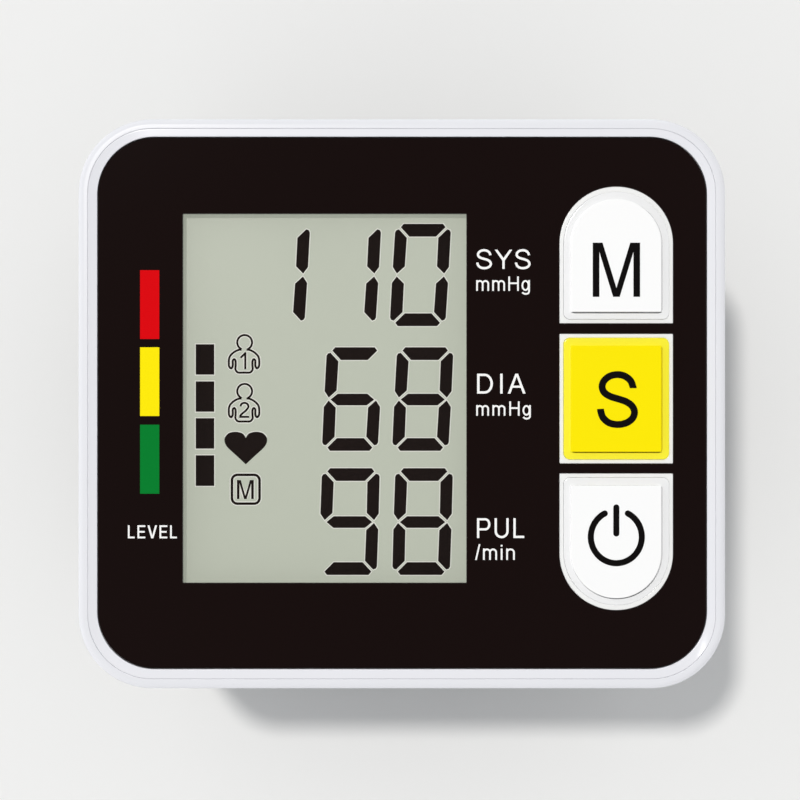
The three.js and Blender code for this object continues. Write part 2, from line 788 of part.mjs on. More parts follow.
// Two cells in series: each stands with its nub on a plate and a spring under its flat end
function addPower() {
  const cell = join(
    bar(cellDiameter / 2, 0, 0, 0, cellLength - cellNubLength, rodSides + 4),
    bar(cellNubRadius, 0, 0, cellLength - 2 * cellNubLength, cellLength, thinRodSides),
  );
  const plateInner = contactThickness + tightGap;
  const upFoot = bayHigh - plateInner - seatGap - cellLength;
  const downFoot = bayLow + plateInner + seatGap + cellLength;
  piece(unit, "battery_outer", cell, cellJacket, cellOuterX, upFoot, cellHeight);
  const turned = cell.clone().rotateX(Math.PI);
  piece(unit, "battery_inner", turned, cellJacket, cellInnerX, downFoot, cellHeight);

  const plate = (x0, x1) =>
    block(x0, x1, 0, contactThickness, cellHeight - contactHeight / 2, cellHeight + contactHeight / 2);
  const half = contactWidth / 2;
  const farY = bayHigh - tightGap - contactThickness;
  const nearY = bayLow + tightGap;
  piece(unit, "contact_bridge", plate(cellOuterX - half, cellInnerX + half), brass, 0, farY);
  piece(unit, "contact_negative", plate(cellOuterX - half, cellOuterX + half), brass, 0, nearY);
  piece(unit, "contact_positive", plate(cellInnerX - half, cellInnerX + half), brass, 0, nearY);
  const springLength = bayLength - 2 * plateInner - seatGap - cellLength - 2 * tightGap;
  const spring = contactSpring(springLength);
  const nearSpring = nearY + contactThickness + tightGap;
  piece(unit, "contact_spring_negative", spring, steel, cellOuterX, nearSpring, cellHeight);
  const farSpring = farY - tightGap;
  const turnedSpring = spring.clone().rotateX(Math.PI);
  piece(unit, "contact_spring_bridge", turnedSpring, steel, cellInnerX, farSpring, cellHeight);

  const coverLow = bayTop + tightGap;
  const coverLeft = -innerWidth / 2 + seatGap;
  const coverRight = bayOuterX;
  const coverOutline = roundedRectangle(
    coverRight - coverLeft,
    bayLength + 2 * bayWall,
    bayCoverCorner,
    (coverLeft + coverRight) / 2,
    bayY,
  );
  const bayCover = prism(coverOutline, coverLow, coverLow + bayCoverThickness);
  piece(unit, "battery_bay_cover", bayCover, whitePlastic);
}

// Battery door: a plate in the left wall's recess, with tongues that hook inside and a ribbed grip
function addDoor() {
  const left = -caseWidth / 2;
  const middle = (doorOpeningHigh + doorOpeningLow) / 2;
  const opening = doorOpeningHigh - doorOpeningLow;
  const inner = left + doorRecess - tightGap;
  const outline = roundedRectangle(doorLength, opening + 2 * doorFlange, doorCorner, bayY, middle);
  const plate = prismAlongX(outline, left - doorProud, inner);
  const tongueRoot = inner - tongueThickness / 2;
  const tongueTip = inner + tongueLength;
  const tongues = [-1, 1].flatMap((side) =>
    [doorOpeningLow + tightGap, doorOpeningHigh - tightGap - tongueThickness].map((low) => {
      const y0 = bayY + (side * tongueSpacing - tongueWidth) / 2;
      return block(tongueRoot, tongueTip, y0, y0 + tongueWidth, low, low + tongueThickness);
    }),
  );
  const face = left - doorProud;
  const gripLow = middle - gripLength / 2;
  const gripWidth = gripPitch / 2;
  const grips = [...Array(gripCount).keys()].map((i) => {
    const y0 = bayY + (i - (gripCount - 1) / 2) * gripPitch - gripWidth / 2;
    return block(face - gripHeight, face + gripHeight, y0, y0 + gripWidth, gripLow, gripLow + gripLength);
  });
  piece(unit, "battery_door", join(plate, ...tongues, ...grips), whitePlastic);
}

// A hose with its bore, along a line of points
function hose(points, steps) {
  const section = new THREE.Shape().absarc(0, 0, hoseRadius, 0, 2 * Math.PI);
  section.holes.push(new THREE.Path().absarc(0, 0, hoseBore, 0, 2 * Math.PI, true));
  const extrudePath = new THREE.CatmullRomCurve3(points);
  return new THREE.ExtrudeGeometry(section, { steps, extrudePath, curveSegments: hoseSides / 2 });
}

// Air pump: motor, sleeve, eccentric shaft, diaphragm and head, along Y
function addPump() {
  const pump = new THREE.Group();
  pump.position.set(pumpX, 0, pumpHeight);
  unit.add(pump);
  const motor = cut(
    bar(motorDiameter / 2, 0, 0, motorFront, motorBack, rodSides + 4),
    bar(shaftRadius + seatGap, 0, 0, motorFront - cutMargin, motorFront + shaftReach + seatGap, thinRodSides),
  );
  piece(pump, "pump_motor", motor, steel);
  const sleeveMiddle = (motorFront + motorBack) / 2;
  const sleeveBore = motorDiameter / 2 + seatGap;
  const sleeve = cut(
    bar(sleeveBore + sleeveThickness, 0, 0, -sleeveLength / 2, sleeveLength / 2, rodSides + 4),
    bar(sleeveBore, 0, 0, -sleeveLength, sleeveLength, rodSides + 4),
  );
  piece(pump, "pump_sleeve", sleeve, greyRubber, 0, sleeveMiddle);
  const crankBack = headBack - seatGap;
  const crankFront = crankBack - crankThickness;
  const pinSpan = [crankFront - crankPinLength, crankFront + crankThickness / 2];
  const shaft = join(
    bar(shaftRadius, 0, 0, crankFront, motorFront + shaftReach, thinRodSides),
    bar(crankRadius, 0, 0, crankFront, crankBack),
    bar(crankPinRadius, crankPinOffset, 0, ...pinSpan, thinRodSides),
  );
  piece(pump, "pump_shaft", shaft, steel);
  const cavityRadius = pumpHeadSize / 2 - pumpHeadWall;
  const cavityFront = headFront + pumpHeadEnd;
  const diaphragmFront = cavityFront + tightGap;
  const diaphragm = bar(cavityRadius - tightGap, 0, 0, diaphragmFront, diaphragmFront + diaphragmThickness);
  piece(pump, "pump_diaphragm", diaphragm, greyRubber);
  const half = pumpHeadSize / 2;
  const nozzleZ = airLevel - pumpHeight;
  const head = cut(
    join(
      block(-half, half, headFront, headBack, -half, half),
      bar(nozzleRadius, 0, nozzleZ, headFront - nozzleLength, headFront + pumpHeadEnd / 2, thinRodSides),
    ),
    bar(cavityRadius, 0, 0, cavityFront, headBack + cutMargin),
  );
  piece(pump, "pump_head", head, blackPlastic);

  const leadHeight = boardBottom - pumpHeight - leadRadius - tightGap;
  const leads = [
    ["pump_lead_red", 1, leadRed],
    ["pump_lead_black", -1, leadBlack],
  ];
  for (const [name, side, material] of leads) {
    const x = (side * leadSpacing) / 2;
    const out = motorBack + leadRadius + tightGap;
    const reach = pumpEndGap - 3 * leadRadius - tightGap;
    const points = [
      new THREE.Vector3(x, out, 0),
      new THREE.Vector3(x, out + reach, leadHeight / 4),
      new THREE.Vector3(x, out + reach / 2, (leadHeight * 3) / 4),
      new THREE.Vector3(x, out - 2 * reach, leadHeight),
    ];
    const section = new THREE.Shape().absarc(0, 0, leadRadius, 0, 2 * Math.PI);
    const options = { steps: 12, extrudePath: new THREE.CatmullRomCurve3(points), curveSegments: 3 };
    piece(pump, name, new THREE.ExtrudeGeometry(section, options), material);
  }
}

// Release valve: a block with a plunger in its bore, and a nozzle towards the manifold
function addValve() {
  const valveBack = valveFront + valveLength;
  const half = valveWidth / 2;
  const seat = valveFront + valveEnd;
  const body = cut(
    join(
      block(-half, half, valveFront, valveBack, floorSeat, floorSeat + valveHeight),
      bar(nozzleRadius, 0, airLevel, valveFront - nozzleLength, valveFront + valveEnd / 2, thinRodSides),
    ),
    bar(valveBore, 0, airLevel, seat, valveBack + cutMargin, thinRodSides),
  );
  piece(unit, "valve_body", body, blackPlastic, portX);
  const plungerFoot = seat + seatGap + valveTravel;
  const plungerSpan = [plungerFoot, plungerFoot + valvePlungerLength];
  const plunger = bar(valveBore - valvePlungerGap, 0, airLevel, ...plungerSpan, thinRodSides);
  piece(unit, "valve_plunger", plunger, steel, portX);
}

// Manifold on the cuff's port, the pressure sensor above it, and the hoses that join them
function addAirWays() {
  const sideReach = manifoldRadius + barbLength;
  const manifoldTop = airLevel + manifoldRadius;
  const manifold = cut(
    join(
      post(manifoldRadius, 0, 0, floorSeat, manifoldTop),
      post(nozzleRadius, 0, 0, manifoldTop - cutMargin, manifoldTop + topBarbLength, thinRodSides),
      bar(nozzleRadius, 0, airLevel, -sideReach, sideReach, thinRodSides),
    ),
    post(portRadius + seatGap, 0, 0, floorSeat - cutMargin, portRise + seatGap, thinRodSides),
  );
  piece(unit, "air_manifold", manifold, blackPlastic, portX, portY);
  const sensorTop = boardBottom - tightGap;
  const sensorBottom = sensorTop - sensorHeight;
  const half = sensorSize / 2;
  const sensor = join(
    block(-half, half, -half, half, sensorBottom, sensorTop),
    post(nozzleRadius, 0, 0, sensorBottom - sensorNozzleLength, sensorBottom + cutMargin, thinRodSides),
  );
  piece(unit, "pressure_sensor", sensor, blackPlastic, portX, portY);

  const rise = [manifoldTop + seatGap, sensorBottom - seatGap];
  const upright = rise.map((z) => new THREE.Vector3(portX, portY, z));
  piece(unit, "hose_sensor", hose(upright, 1), hoseRubber);
  const valveRun = [portY + manifoldRadius + seatGap, valveFront - seatGap];
  const level = valveRun.map((y) => new THREE.Vector3(portX, y, airLevel));
  piece(unit, "hose_valve", hose(level, 1), hoseRubber);

  const turnRadius = (pumpX - portX) / 2;
  const pumpEnd = headFront - seatGap;
  const manifoldEnd = portY - manifoldRadius - seatGap;
  const turnY = Math.min(pumpEnd, manifoldEnd) - hoseStraight;
  const turnSteps = 8;
  const turn = [...Array(turnSteps + 1).keys()].map((i) => {
    const angle = (i / turnSteps) * Math.PI;
    const x = (pumpX + portX) / 2 + turnRadius * Math.cos(angle);
    return new THREE.Vector3(x, turnY - turnRadius * Math.sin(angle), airLevel);
  });
  const run = (x, from, to) =>
    [0, 1, 2].map((i) => new THREE.Vector3(x, from + ((to - from) * i) / 3, airLevel));
  const line = [...run(pumpX, pumpEnd, turnY), ...turn, ...run(portX, manifoldEnd, turnY).reverse()];
  piece(unit, "hose_pump", hose(line, 24), hoseRubber);
}

// The cuff's line across the wrist at a distance out from the skin, as (y, z): straights and round turns
const turnY = wristHalf - wristCorner;
const topShortTurn = (out) => turnPoints(-turnY, highTurn, wristCorner + out, Math.PI, Math.PI / 2);
const topFarTurn = (out) => turnPoints(turnY, highTurn, wristCorner + out, Math.PI / 2, 0);
const bottomFarTurn = (out) => turnPoints(turnY, lowTurn, wristCorner + out, 0, -Math.PI / 2);
const bottomTailTurn = (out) =>
  turnPoints(-turnY - tailShift, lowTurn, wristCorner + out, -Math.PI / 2, -Math.PI);

// From the short end, over the top, down the far side, along the table and up to the tail's fold
function wholeLine(out) {
  const shortEnd = new THREE.Vector2(-wristHalf - out, lowTurn + shortEndGap);
  return [shortEnd, ...topShortTurn(out), ...topFarTurn(out), ...bottomFarTurn(out), ...bottomTailTurn(out)];
}

// The inner layers stop a little past the short end and along the table
function innerLine(out) {
  const shortEnd = new THREE.Vector2(-wristHalf - out, lowTurn + shortEndGap + innerLayerEnd);
  const tableEnd = new THREE.Vector2(turnY - bladderTail, lowTurn - wristCorner - out);
  return [shortEnd, ...topShortTurn(out), ...topFarTurn(out), ...bottomFarTurn(out), tableEnd];
}

// The tail rises outside the short end and follows it over the upper turn
function tailLine(out, from, wrap) {
  const start = new THREE.Vector2(-wristHalf - tailShift - out, lowTurn + from);
  const end = Math.PI - THREE.MathUtils.degToRad(wrap);
  return [start, ...turnPoints(-turnY, highTurn, wristCorner + tailShift + out, Math.PI, end)];
}

function strip(line, near, far, x0, x1) {
  return prismAlongX([...line(near), ...line(far).reverse()], x0, x1);
}

function layer(line, near, thickness, width) {
  return strip(line, near, near + thickness, -width / 2, width / 2);
}

// A strip whose far end is rounded in its own plane: a rectangle at each station, narrower towards the end
function roundedStrip(line, near, thickness, width, corner) {
  const low = line(near);
  const high = line(near + thickness);
  const toEnd = low.map((_, i) => low.slice(i + 1).reduce((sum, p, k) => sum + p.distanceTo(low[i + k]), 0));
  const vertices = low.flatMap((p, i) => {
    const short = Math.max(corner - toEnd[i], 0);
    const half = width / 2 - corner + Math.sqrt(corner ** 2 - short ** 2);
    const q = high[i];
    return [
      new THREE.Vector3(-half, p.x, p.y),
      new THREE.Vector3(half, p.x, p.y),
      new THREE.Vector3(half, q.x, q.y),
      new THREE.Vector3(-half, q.x, q.y),
    ];
  });
  const triangles = [0, 1, 2, 0, 2, 3];
  for (let i = 0; i < low.length - 1; i++) {
    for (let k = 0; k < 4; k++) {
      const a = 4 * i + k;
      const b = 4 * i + ((k + 1) % 4);
      triangles.push(a, a + 4, b + 4, a, b + 4, b);
    }
  }
  const last = vertices.length - 4;
  triangles.push(last, last + 2, last + 1, last, last + 3, last + 2);
  return new THREE.BufferGeometry().setFromPoints(vertices).setIndex(triangles);
}

function binding(side) {
  const outer = side * (cuffWidth / 2 + bindingOut);
  const web = side * (cuffWidth / 2 + bindingGap);
  const reach = side * (cuffWidth / 2 - bindingReach);
  const between = (a, b) => [Math.min(a, b), Math.max(a, b)];
  return join(
    strip(wholeLine, -bindingOut, -bindingGap, ...between(reach, outer)),
    strip(wholeLine, cuffThickness + bindingGap, cuffThickness + bindingOut, ...between(reach, outer)),
    strip(wholeLine, -bindingOut, cuffThickness + bindingOut, ...between(web, outer)),
  );
}

function addCuff() {
  const bladderInner = liningThickness + layerGap;
  const formerInner = bladderInner + bladderThickness + layerGap;
  const outerInner = formerInner + formerThickness + layerGap;
  const bladderTop = highTurn + wristCorner + bladderInner;
  const portHole = (radius) => post(radius, portX, portY, highTurn, unitBase, thinRodSides + 2);
  piece(cuff, "cuff_lining", layer(wholeLine, 0, liningThickness, cuffWidth), liningFabric);
  const bladder = layer(innerLine, bladderInner, bladderThickness, cuffWidth - 2 * bladderSideGap);
  piece(cuff, "cuff_bladder", cut(bladder, portHole(portFlangeRadius + seatGap)), bladderFilm);
  const former = layer(innerLine, formerInner, formerThickness, cuffWidth - 2 * formerSideGap);
  piece(cuff, "cuff_former", cut(former, portHole(portRadius + screwClearance)), formerSheet);
  const outer = layer(wholeLine, outerInner, outerThickness, cuffWidth);
  piece(cuff, "cuff_outer", cut(outer, portHole(portRadius + screwClearance)), cuffFabric);
  const port = join(
    post(portFlangeRadius, 0, 0, bladderTop, bladderTop + bladderThickness),
    post(portRadius, 0, 0, bladderTop + bladderThickness / 2, unitBase + portRise, thinRodSides),
  );
  piece(cuff, "bladder_port", port, blackPlastic, portX, portY);
  piece(cuff, "cuff_binding_left", binding(-1), bindingTape);
  piece(cuff, "cuff_binding_right", binding(1), bindingTape);
  const tail = (out) => tailLine(out, layerGap, tailWrap);
  const tailStrip = roundedStrip(tail, tailInner, tailThickness, tailWidth, tailCorner);
  piece(cuff, "cuff_tail", tailStrip, cuffFabric);
  const hook = (out) => tailLine(out, innerLayerEnd, tailWrap - hookEndAngle);
  const hookStrip = roundedStrip(hook, hookInner, hookThickness, tailWidth - 2 * hookSideGap, tailCorner);
  piece(cuff, "hook_tape", hookStrip, hookTape);

  const plateHole = (x, y, radius) => post(radius, x, y, plateBottom - cutMargin, unitBase, thinRodSides);
  const plate = cut(
    block(
      portX - plateWidth / 2,
      portX + plateWidth / 2,
      -plateLength / 2,
      plateLength / 2,
      plateBottom,
      plateBottom + plateThickness,
    ),
    plateHole(portX, portY, portRadius + screwClearance),
    ...plateScrewPlaces().map(([x, y]) => plateHole(x, y, plateScrewShank + screwClearance)),
  );
  piece(cuff, "cuff_plate", plate, blackPlastic);
}

addFace();
addScrews();
addElectronics();
addPower();
addDoor();
addPump();
addValve();
addAirWays();
addCuff();

export default monitor;
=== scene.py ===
# %% [markdown]
# # A wrist blood pressure monitor, dressed in Blender
# The object is a flat white case with a black face, a grey display and three keys, standing on a closed
# fabric cuff. Its CAD solids are already packed and fixed, so this lesson only dresses them. Every new
# surface is worked out as a numpy array in millimetres, in the CAD model's own frame, and turns into
# metres as it becomes a mesh.

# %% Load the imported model
import math

import bmesh
import bpy
import numpy as np
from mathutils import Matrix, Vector
from mathutils.geometry import tessellate_polygon


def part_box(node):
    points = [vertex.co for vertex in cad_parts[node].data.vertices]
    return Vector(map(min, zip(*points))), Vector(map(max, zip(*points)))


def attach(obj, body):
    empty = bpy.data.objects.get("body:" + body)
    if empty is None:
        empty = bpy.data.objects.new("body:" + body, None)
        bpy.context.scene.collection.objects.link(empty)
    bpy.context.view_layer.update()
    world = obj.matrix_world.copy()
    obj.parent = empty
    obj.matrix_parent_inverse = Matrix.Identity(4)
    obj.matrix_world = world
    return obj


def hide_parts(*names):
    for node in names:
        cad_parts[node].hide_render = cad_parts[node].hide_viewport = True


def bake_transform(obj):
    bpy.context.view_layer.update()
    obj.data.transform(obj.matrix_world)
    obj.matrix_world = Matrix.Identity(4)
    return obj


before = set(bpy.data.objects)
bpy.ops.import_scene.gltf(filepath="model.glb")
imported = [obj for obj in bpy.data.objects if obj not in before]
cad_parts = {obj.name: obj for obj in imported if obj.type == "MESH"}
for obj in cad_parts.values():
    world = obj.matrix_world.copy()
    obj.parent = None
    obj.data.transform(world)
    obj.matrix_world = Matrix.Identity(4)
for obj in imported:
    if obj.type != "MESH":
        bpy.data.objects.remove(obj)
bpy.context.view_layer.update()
MM = 0.001


def corners(node):
    """A CAD node's lowest and highest corner, in millimetres."""
    low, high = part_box(node)
    return np.array(low) / MM, np.array(high) / MM


def centre(node):
    """The middle of a CAD node's box, in millimetres."""
    low, high = corners(node)
    return (low + high) / 2


case_low, case_high = corners("rear_housing")
CASE_X, CASE_Y = centre("rear_housing")[:2]
BASE = case_low[2]
print("case", np.round(case_high - case_low, 2), "stands at", round(BASE, 2))

# %% [markdown]
# ## Camera
# The photograph looks straight down on the face, with no side of the case in sight. A long lens does the
# same. One function turns a pixel of the picture into a place on the object: it follows the pixel's ray
# down to a level, so that marks on the sunken display land as exactly as marks on the panel.

# %% Camera
FRAME_PX = 800
PX_MM = 0.11583
BODY_PX = (401.75, 403.75)
LENS = 120.0
SENSOR = 36.0
PANEL_TOP = corners("front_panel")[1][2]


def add_object(name, data):
    """A new object, linked to the scene."""
    made = bpy.data.objects.new(name, data)
    bpy.context.scene.collection.objects.link(made)
    return made


eye_x = CASE_X + (FRAME_PX / 2 - BODY_PX[0]) * PX_MM
eye_y = CASE_Y + (BODY_PX[1] - FRAME_PX / 2) * PX_MM
eye = np.array([eye_x, eye_y, PANEL_TOP + FRAME_PX * PX_MM * LENS / SENSOR])
camera_data = bpy.data.cameras.new("photo_camera")
camera_data.lens = LENS
camera_data.sensor_width = SENSOR
camera_data.clip_start = 0.01
camera = add_object("photo_camera", camera_data)
camera.location = eye * MM
bpy.context.scene.camera = camera


def spot(px, py, level):
    """Where the ray through a pixel meets a level, as (x, y): eye + (pixel - middle) * spread."""
    spread = (eye[2] - level) * SENSOR / LENS / FRAME_PX
    x = eye[0] + (np.asarray(px, float) - FRAME_PX / 2) * spread
    y = eye[1] + (FRAME_PX / 2 - np.asarray(py, float)) * spread
    return np.stack([x, y], axis=-1)


print("camera", np.round(eye, 1))

# %% [markdown]
# ## Meshes from arrays
# Most of this object is moulded: a rounded outline, carried through a profile. So the main tool is a
# chain of rings, each ring an outline at its own inset and level. Chains that share an upper and a lower
# face make a solid with holes. Rounds are part of the profile, which keeps every edge clean without a
# bevel on a triangulated face.

# %% Outlines
CORNER_STEPS = 14
ROUND_STEPS = 6


def arc(x, y, radius, start, end, steps):
    """Points (x + r cos a, y + r sin a) for angles a from start to end, in degrees."""
    angle = np.radians(np.linspace(start, end, steps + 1))
    return np.stack([x + radius * np.cos(angle), y + radius * np.sin(angle)], axis=1)


def oval(x, y, across, up, start, end, steps=14):
    """Points on an ellipse's arc: a unit arc, scaled and moved."""
    return arc(0, 0, 1, start, end, steps) * (across, up) + (x, y)


def rounded(x0, x1, y0, y1, low, high=None, steps=CORNER_STEPS):
    """A rectangle whose lower and upper corners are quarter circles of their own radius, anticlockwise."""
    high = low if high is None else high
    lower_right = arc(x1 - low, y0 + low, low, -90, 0, steps)
    upper_right = arc(x1 - high, y1 - high, high, 0, 90, steps)
    upper_left = arc(x0 + high, y1 - high, high, 90, 180, steps)
    lower_left = arc(x0 + low, y0 + low, low, 180, 270, steps)
    return np.concatenate([lower_right, upper_right, upper_left, lower_left])


def drawn_in(first, second, corner, shrink=0.0, steps=CORNER_STEPS):
    """A rounded rectangle over two ranges, as a function of inset; its corner shrinks by a share of it."""

    def outline(inset):
        (a0, a1), (b0, b1) = first, second
        radius = corner - shrink * inset
        return rounded(a0 + inset, a1 - inset, b0 + inset, b1 - inset, radius, steps=steps)

    return outline


# %% Profiles and rings


def quarter(inset, level, radius, start, end):
    """A round of a profile: (inset, level) points on a quarter circle about a centre."""
    return arc(inset, level, radius, start, end, ROUND_STEPS)


def held(profile, cap=0.0, margin=0.07):
    """A profile with points close to both ends of each long straight, and one further in on both end
    faces, so that smooth shading stays flat between rounds."""
    p = np.asarray(profile, float)
    p = np.concatenate([p[:1] + (cap, 0), p, p[-1:] + (cap, 0)]) if cap else p
    step = np.diff(p, axis=0)
    length = np.linalg.norm(step, axis=1, keepdims=True)
    near = step * margin / np.maximum(length, 1e-9)
    spread = np.stack([p[:-1], p[:-1] + near, p[1:] - near], axis=1)
    long = length[:, 0] > 4 * margin
    return np.concatenate([spread[np.column_stack([np.ones_like(long), long, long])], p[-1:]])


def at_level(outline, level):
    """A flat outline as points at one level."""
    return np.column_stack([outline, np.full(len(outline), level)])


def chain(outline, profile):
    """Rings: the outline at each profile point's inset, lifted to that point's level."""
    return np.stack([at_level(outline(inset), level) for inset, level in profile])


def circle(sides):
    """Angles spread evenly round a circle."""
    return np.linspace(0, 2 * np.pi, sides, endpoint=False)


def turned(profile, place, axis=2, sides=40):
    """A profile of (radius, height) carried round an axis: rings of r cos a, r sin a at height h."""
    angle = circle(sides)
    profile = np.asarray(profile, float)
    rings = np.zeros((len(profile), sides, 3))
    rings[..., (axis + 1) % 3] = profile[:, :1] * np.cos(angle)
    rings[..., (axis + 2) % 3] = profile[:, :1] * np.sin(angle)
    rings[..., axis] = profile[:, 1:]
    return rings + np.asarray(place, float)


# %% Solids from rings


def skin(rings, first=0, wrap=False):
    """Quads between neighbouring rings, wrapping round: (i, k), (i, k+1), (i+1, k+1), (i+1, k)."""
    count = rings.shape[0] * rings.shape[1]
    grid = first + np.arange(count).reshape(rings.shape[:2])
    lower = grid if wrap else grid[:-1]
    upper = np.roll(grid, -1, 0) if wrap else grid[1:]
    quads = np.stack([lower, np.roll(lower, -1, 1), np.roll(upper, -1, 1), upper], axis=-1)
    return quads.reshape(-1, 4).tolist()


def solid(outer, *holes, fill=False):
    """A closed solid: each chain's skin and a face at both ends. With holes, or to fill a bent outline,
    the ends are triangles between the outer ring and the hole rings."""
    chains = [outer, *holes]
    starts = np.cumsum([0] + [c.shape[0] * c.shape[1] for c in chains])
    faces = [face for c, s in zip(chains, starts) for face in skin(c, s)]
    for end in (0, -1):
        first = [s + (end % c.shape[0]) * c.shape[1] for c, s in zip(chains, starts)]
        index = np.concatenate([f + np.arange(c.shape[1]) for f, c in zip(first, chains)])
        if holes or fill:
            loops = [[Vector((*p[:2], 0)) for p in c[end]] for c in chains]
            faces += [index[list(triangle)].tolist() for triangle in tessellate_polygon(loops)]
        else:
            faces.append(index.tolist())
    return np.concatenate([c.reshape(-1, 3) for c in chains]), faces


def hollow(rings):
    """Rings whose last joins the first: one closed skin, as of a tube with a bore."""
    return rings.reshape(-1, 3), skin(rings, wrap=True)


def upright(outline, levels):
    """A flat outline carried up through levels."""
    return solid(np.stack([at_level(outline, level) for level in levels]))


def together(*shapes):
    """Several closed shapes as one set of points and faces."""
    starts = np.cumsum([0] + [len(points) for points, _ in shapes])
    faces = [[int(i + start) for i in face] for (_, part), start in zip(shapes, starts) for face in part]
    return np.concatenate([points for points, _ in shapes]), faces


def repeated(points, rings, sides):
    """Many copies of one small tube, given as an array of (copy, point, axis)."""
    _, faces = solid(np.zeros((rings, sides, 3)))
    starts = np.arange(len(points)) * rings * sides
    return points.reshape(-1, 3), [[int(i + start) for i in face] for start in starts for face in faces]


# %% Pieces
MERGE = 2e-7
CREASE = 35
finishes = {}


def turn_outwards(mesh, merge=0.0):
    """Turns a mesh's faces outwards, after merging doubles within a distance."""
    work = bmesh.new()
    work.from_mesh(mesh)
    if merge:
        bmesh.ops.remove_doubles(work, verts=work.verts, dist=merge)
    bmesh.ops.recalc_face_normals(work, faces=work.faces)
    work.to_mesh(mesh)
    work.free()


def smooth(mesh, crease=CREASE):
    """Smooth shading, with edges sharper than crease kept sharp."""
    mesh.shade_smooth()
    mesh.set_sharp_from_angle(angle=math.radians(crease))


def add_piece(
    name, shape, finish, slot=None, stands_for=None, body="monitor", crease=CREASE, cloth_map=None
):
    points, faces = shape
    mesh = bpy.data.meshes.new(name)
    mesh.from_pydata((np.asarray(points) * MM).tolist(), [], faces)
    if cloth_map is not None:
        index = np.zeros(len(mesh.loops), np.int32)
        mesh.loops.foreach_get("vertex_index", index)
        layer = mesh.uv_layers.new(name="cloth")
        layer.uv.foreach_set("vector", np.asarray(cloth_map, np.float32)[index].ravel())
    turn_outwards(mesh, MERGE)
    smooth(mesh, crease)
    mesh.materials.append(finishes[finish])
    piece = add_object(name, mesh)
    if body:
        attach(piece, body)
    if stands_for:
        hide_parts(stands_for)
    print(name, np.round(np.ptp(points, axis=0), 2), "mm")
    return piece


# %% [markdown]
# ## Light and table
# The photograph has a steep light from the upper left and a lot of soft light from all round: a clear
# shadow shows below and to the right of the case, and no face is black. A sun with a small disc makes
# that shadow. The world gives the soft part, darker straight overhead, as above any table that somebody
# photographs from above. Together they give a level face one unit of light, so a colour renders about as
# it is written.

# %% Node helpers


def node(tree, kind, inputs=None, **settings):
    """Adds a node. Settings are its properties; inputs are sockets, each given a value or a link."""
    made = tree.nodes.new(kind)
    for key, value in settings.items():
        setattr(made, key, value)
    for key, value in (inputs or {}).items():
        if isinstance(value, bpy.types.NodeSocket):
            tree.links.new(value, made.inputs[key])
        else:
            made.inputs[key].default_value = value
    return made


def math_node(tree, operation, *values):
    """One Math node on numbers or sockets; gives its result."""
    return node(tree, "ShaderNodeMath", dict(enumerate(values)), operation=operation).outputs[0]


def bare_finish(name, shader_values):
    """A new material with plain values on its shader; gives its tree and its shader."""
    finishes[name] = bpy.data.materials.new(name)
    finishes[name].use_nodes = True
    tree = finishes[name].node_tree
    shader = tree.nodes["Principled BSDF"]
    for label, value in shader_values.items():
        shader.inputs[label].default_value = value
    return tree, shader


# %% Sun, world and table
SUN_TRAVEL = Vector((8.8, -11.0, -60))
SUN_STRENGTH = 1.4
SUN_DISC = 2.6
SKY_HORIZON = 1.16
SKY_OVERHEAD = 0.1
SKY_LEFT = 0.2
TABLE_DROP = 0.05

sun_data = bpy.data.lights.new("window_sun", "SUN")
sun_data.energy = SUN_STRENGTH
sun_data.angle = math.radians(SUN_DISC)
sun_data.color = (1, 0.98, 0.95)
sun = add_object("window_sun", sun_data)
sun.rotation_mode = "QUATERNION"
sun.rotation_quaternion = SUN_TRAVEL.to_track_quat("-Z", "Y")

world = bpy.data.worlds.new("soft_room")
world.use_nodes = True
bpy.context.scene.world = world
sky = world.node_tree
direction = node(sky, "ShaderNodeTexCoord").outputs["Generated"]
compass = node(sky, "ShaderNodeSeparateXYZ", {0: direction}).outputs
steep = math_node(sky, "MULTIPLY", compass["Z"], compass["Z"])
sky_range = {"Value": steep, "To Min": SKY_HORIZON, "To Max": SKY_OVERHEAD}
even = node(sky, "ShaderNodeMapRange", sky_range).outputs[0]
left_side = math_node(sky, "MULTIPLY_ADD", compass["X"], -SKY_LEFT, 1.0)
background = sky.nodes["Background"]
background.inputs["Color"].default_value = (0.97, 0.985, 1, 1)
sky.links.new(math_node(sky, "MULTIPLY", even, left_side), background.inputs["Strength"])

TABLE_VALUES = {"Base Color": (0.87, 0.87, 0.865, 1), "Roughness": 0.8, "Specular IOR Level": 0.2}
bare_finish("pale_table", TABLE_VALUES)
table_mesh = bpy.data.meshes.new("table")
table_rings = turned([(0, 0), (400, 0), (4000, 0)], (0, 0, -TABLE_DROP), sides=64)
table_mesh.from_pydata((table_rings.reshape(-1, 3) * MM).tolist(), [], skin(table_rings))
table_mesh.materials.append(finishes["pale_table"])
table = add_object("table", table_mesh)
bpy.context.scene.view_settings.view_transform = "Standard"
print("light: sun", SUN_STRENGTH, "sky", SKY_OVERHEAD, "to", SKY_HORIZON)

# %% [markdown]
# ## Finishes
# A moulded part is never one flat colour: its skin has a fine spark-eroded grain, and its gloss and tint
# drift a little over the part. That is one node group here, shared by every plastic. Cloth has three more
# groups: a plain weave, a brushed loop pile and a ribbed tape. Metal has a brushed group, and print a
# thin-ink group. Each group reads Object coordinates, or the cloth map of the piece in millimetres, and
# puts out only what changes over the surface.

# %% Group helpers
SOCKETS = {"Colour": "Color", "Roughness": "Float", "Normal": "Vector", "Height": "Float"}


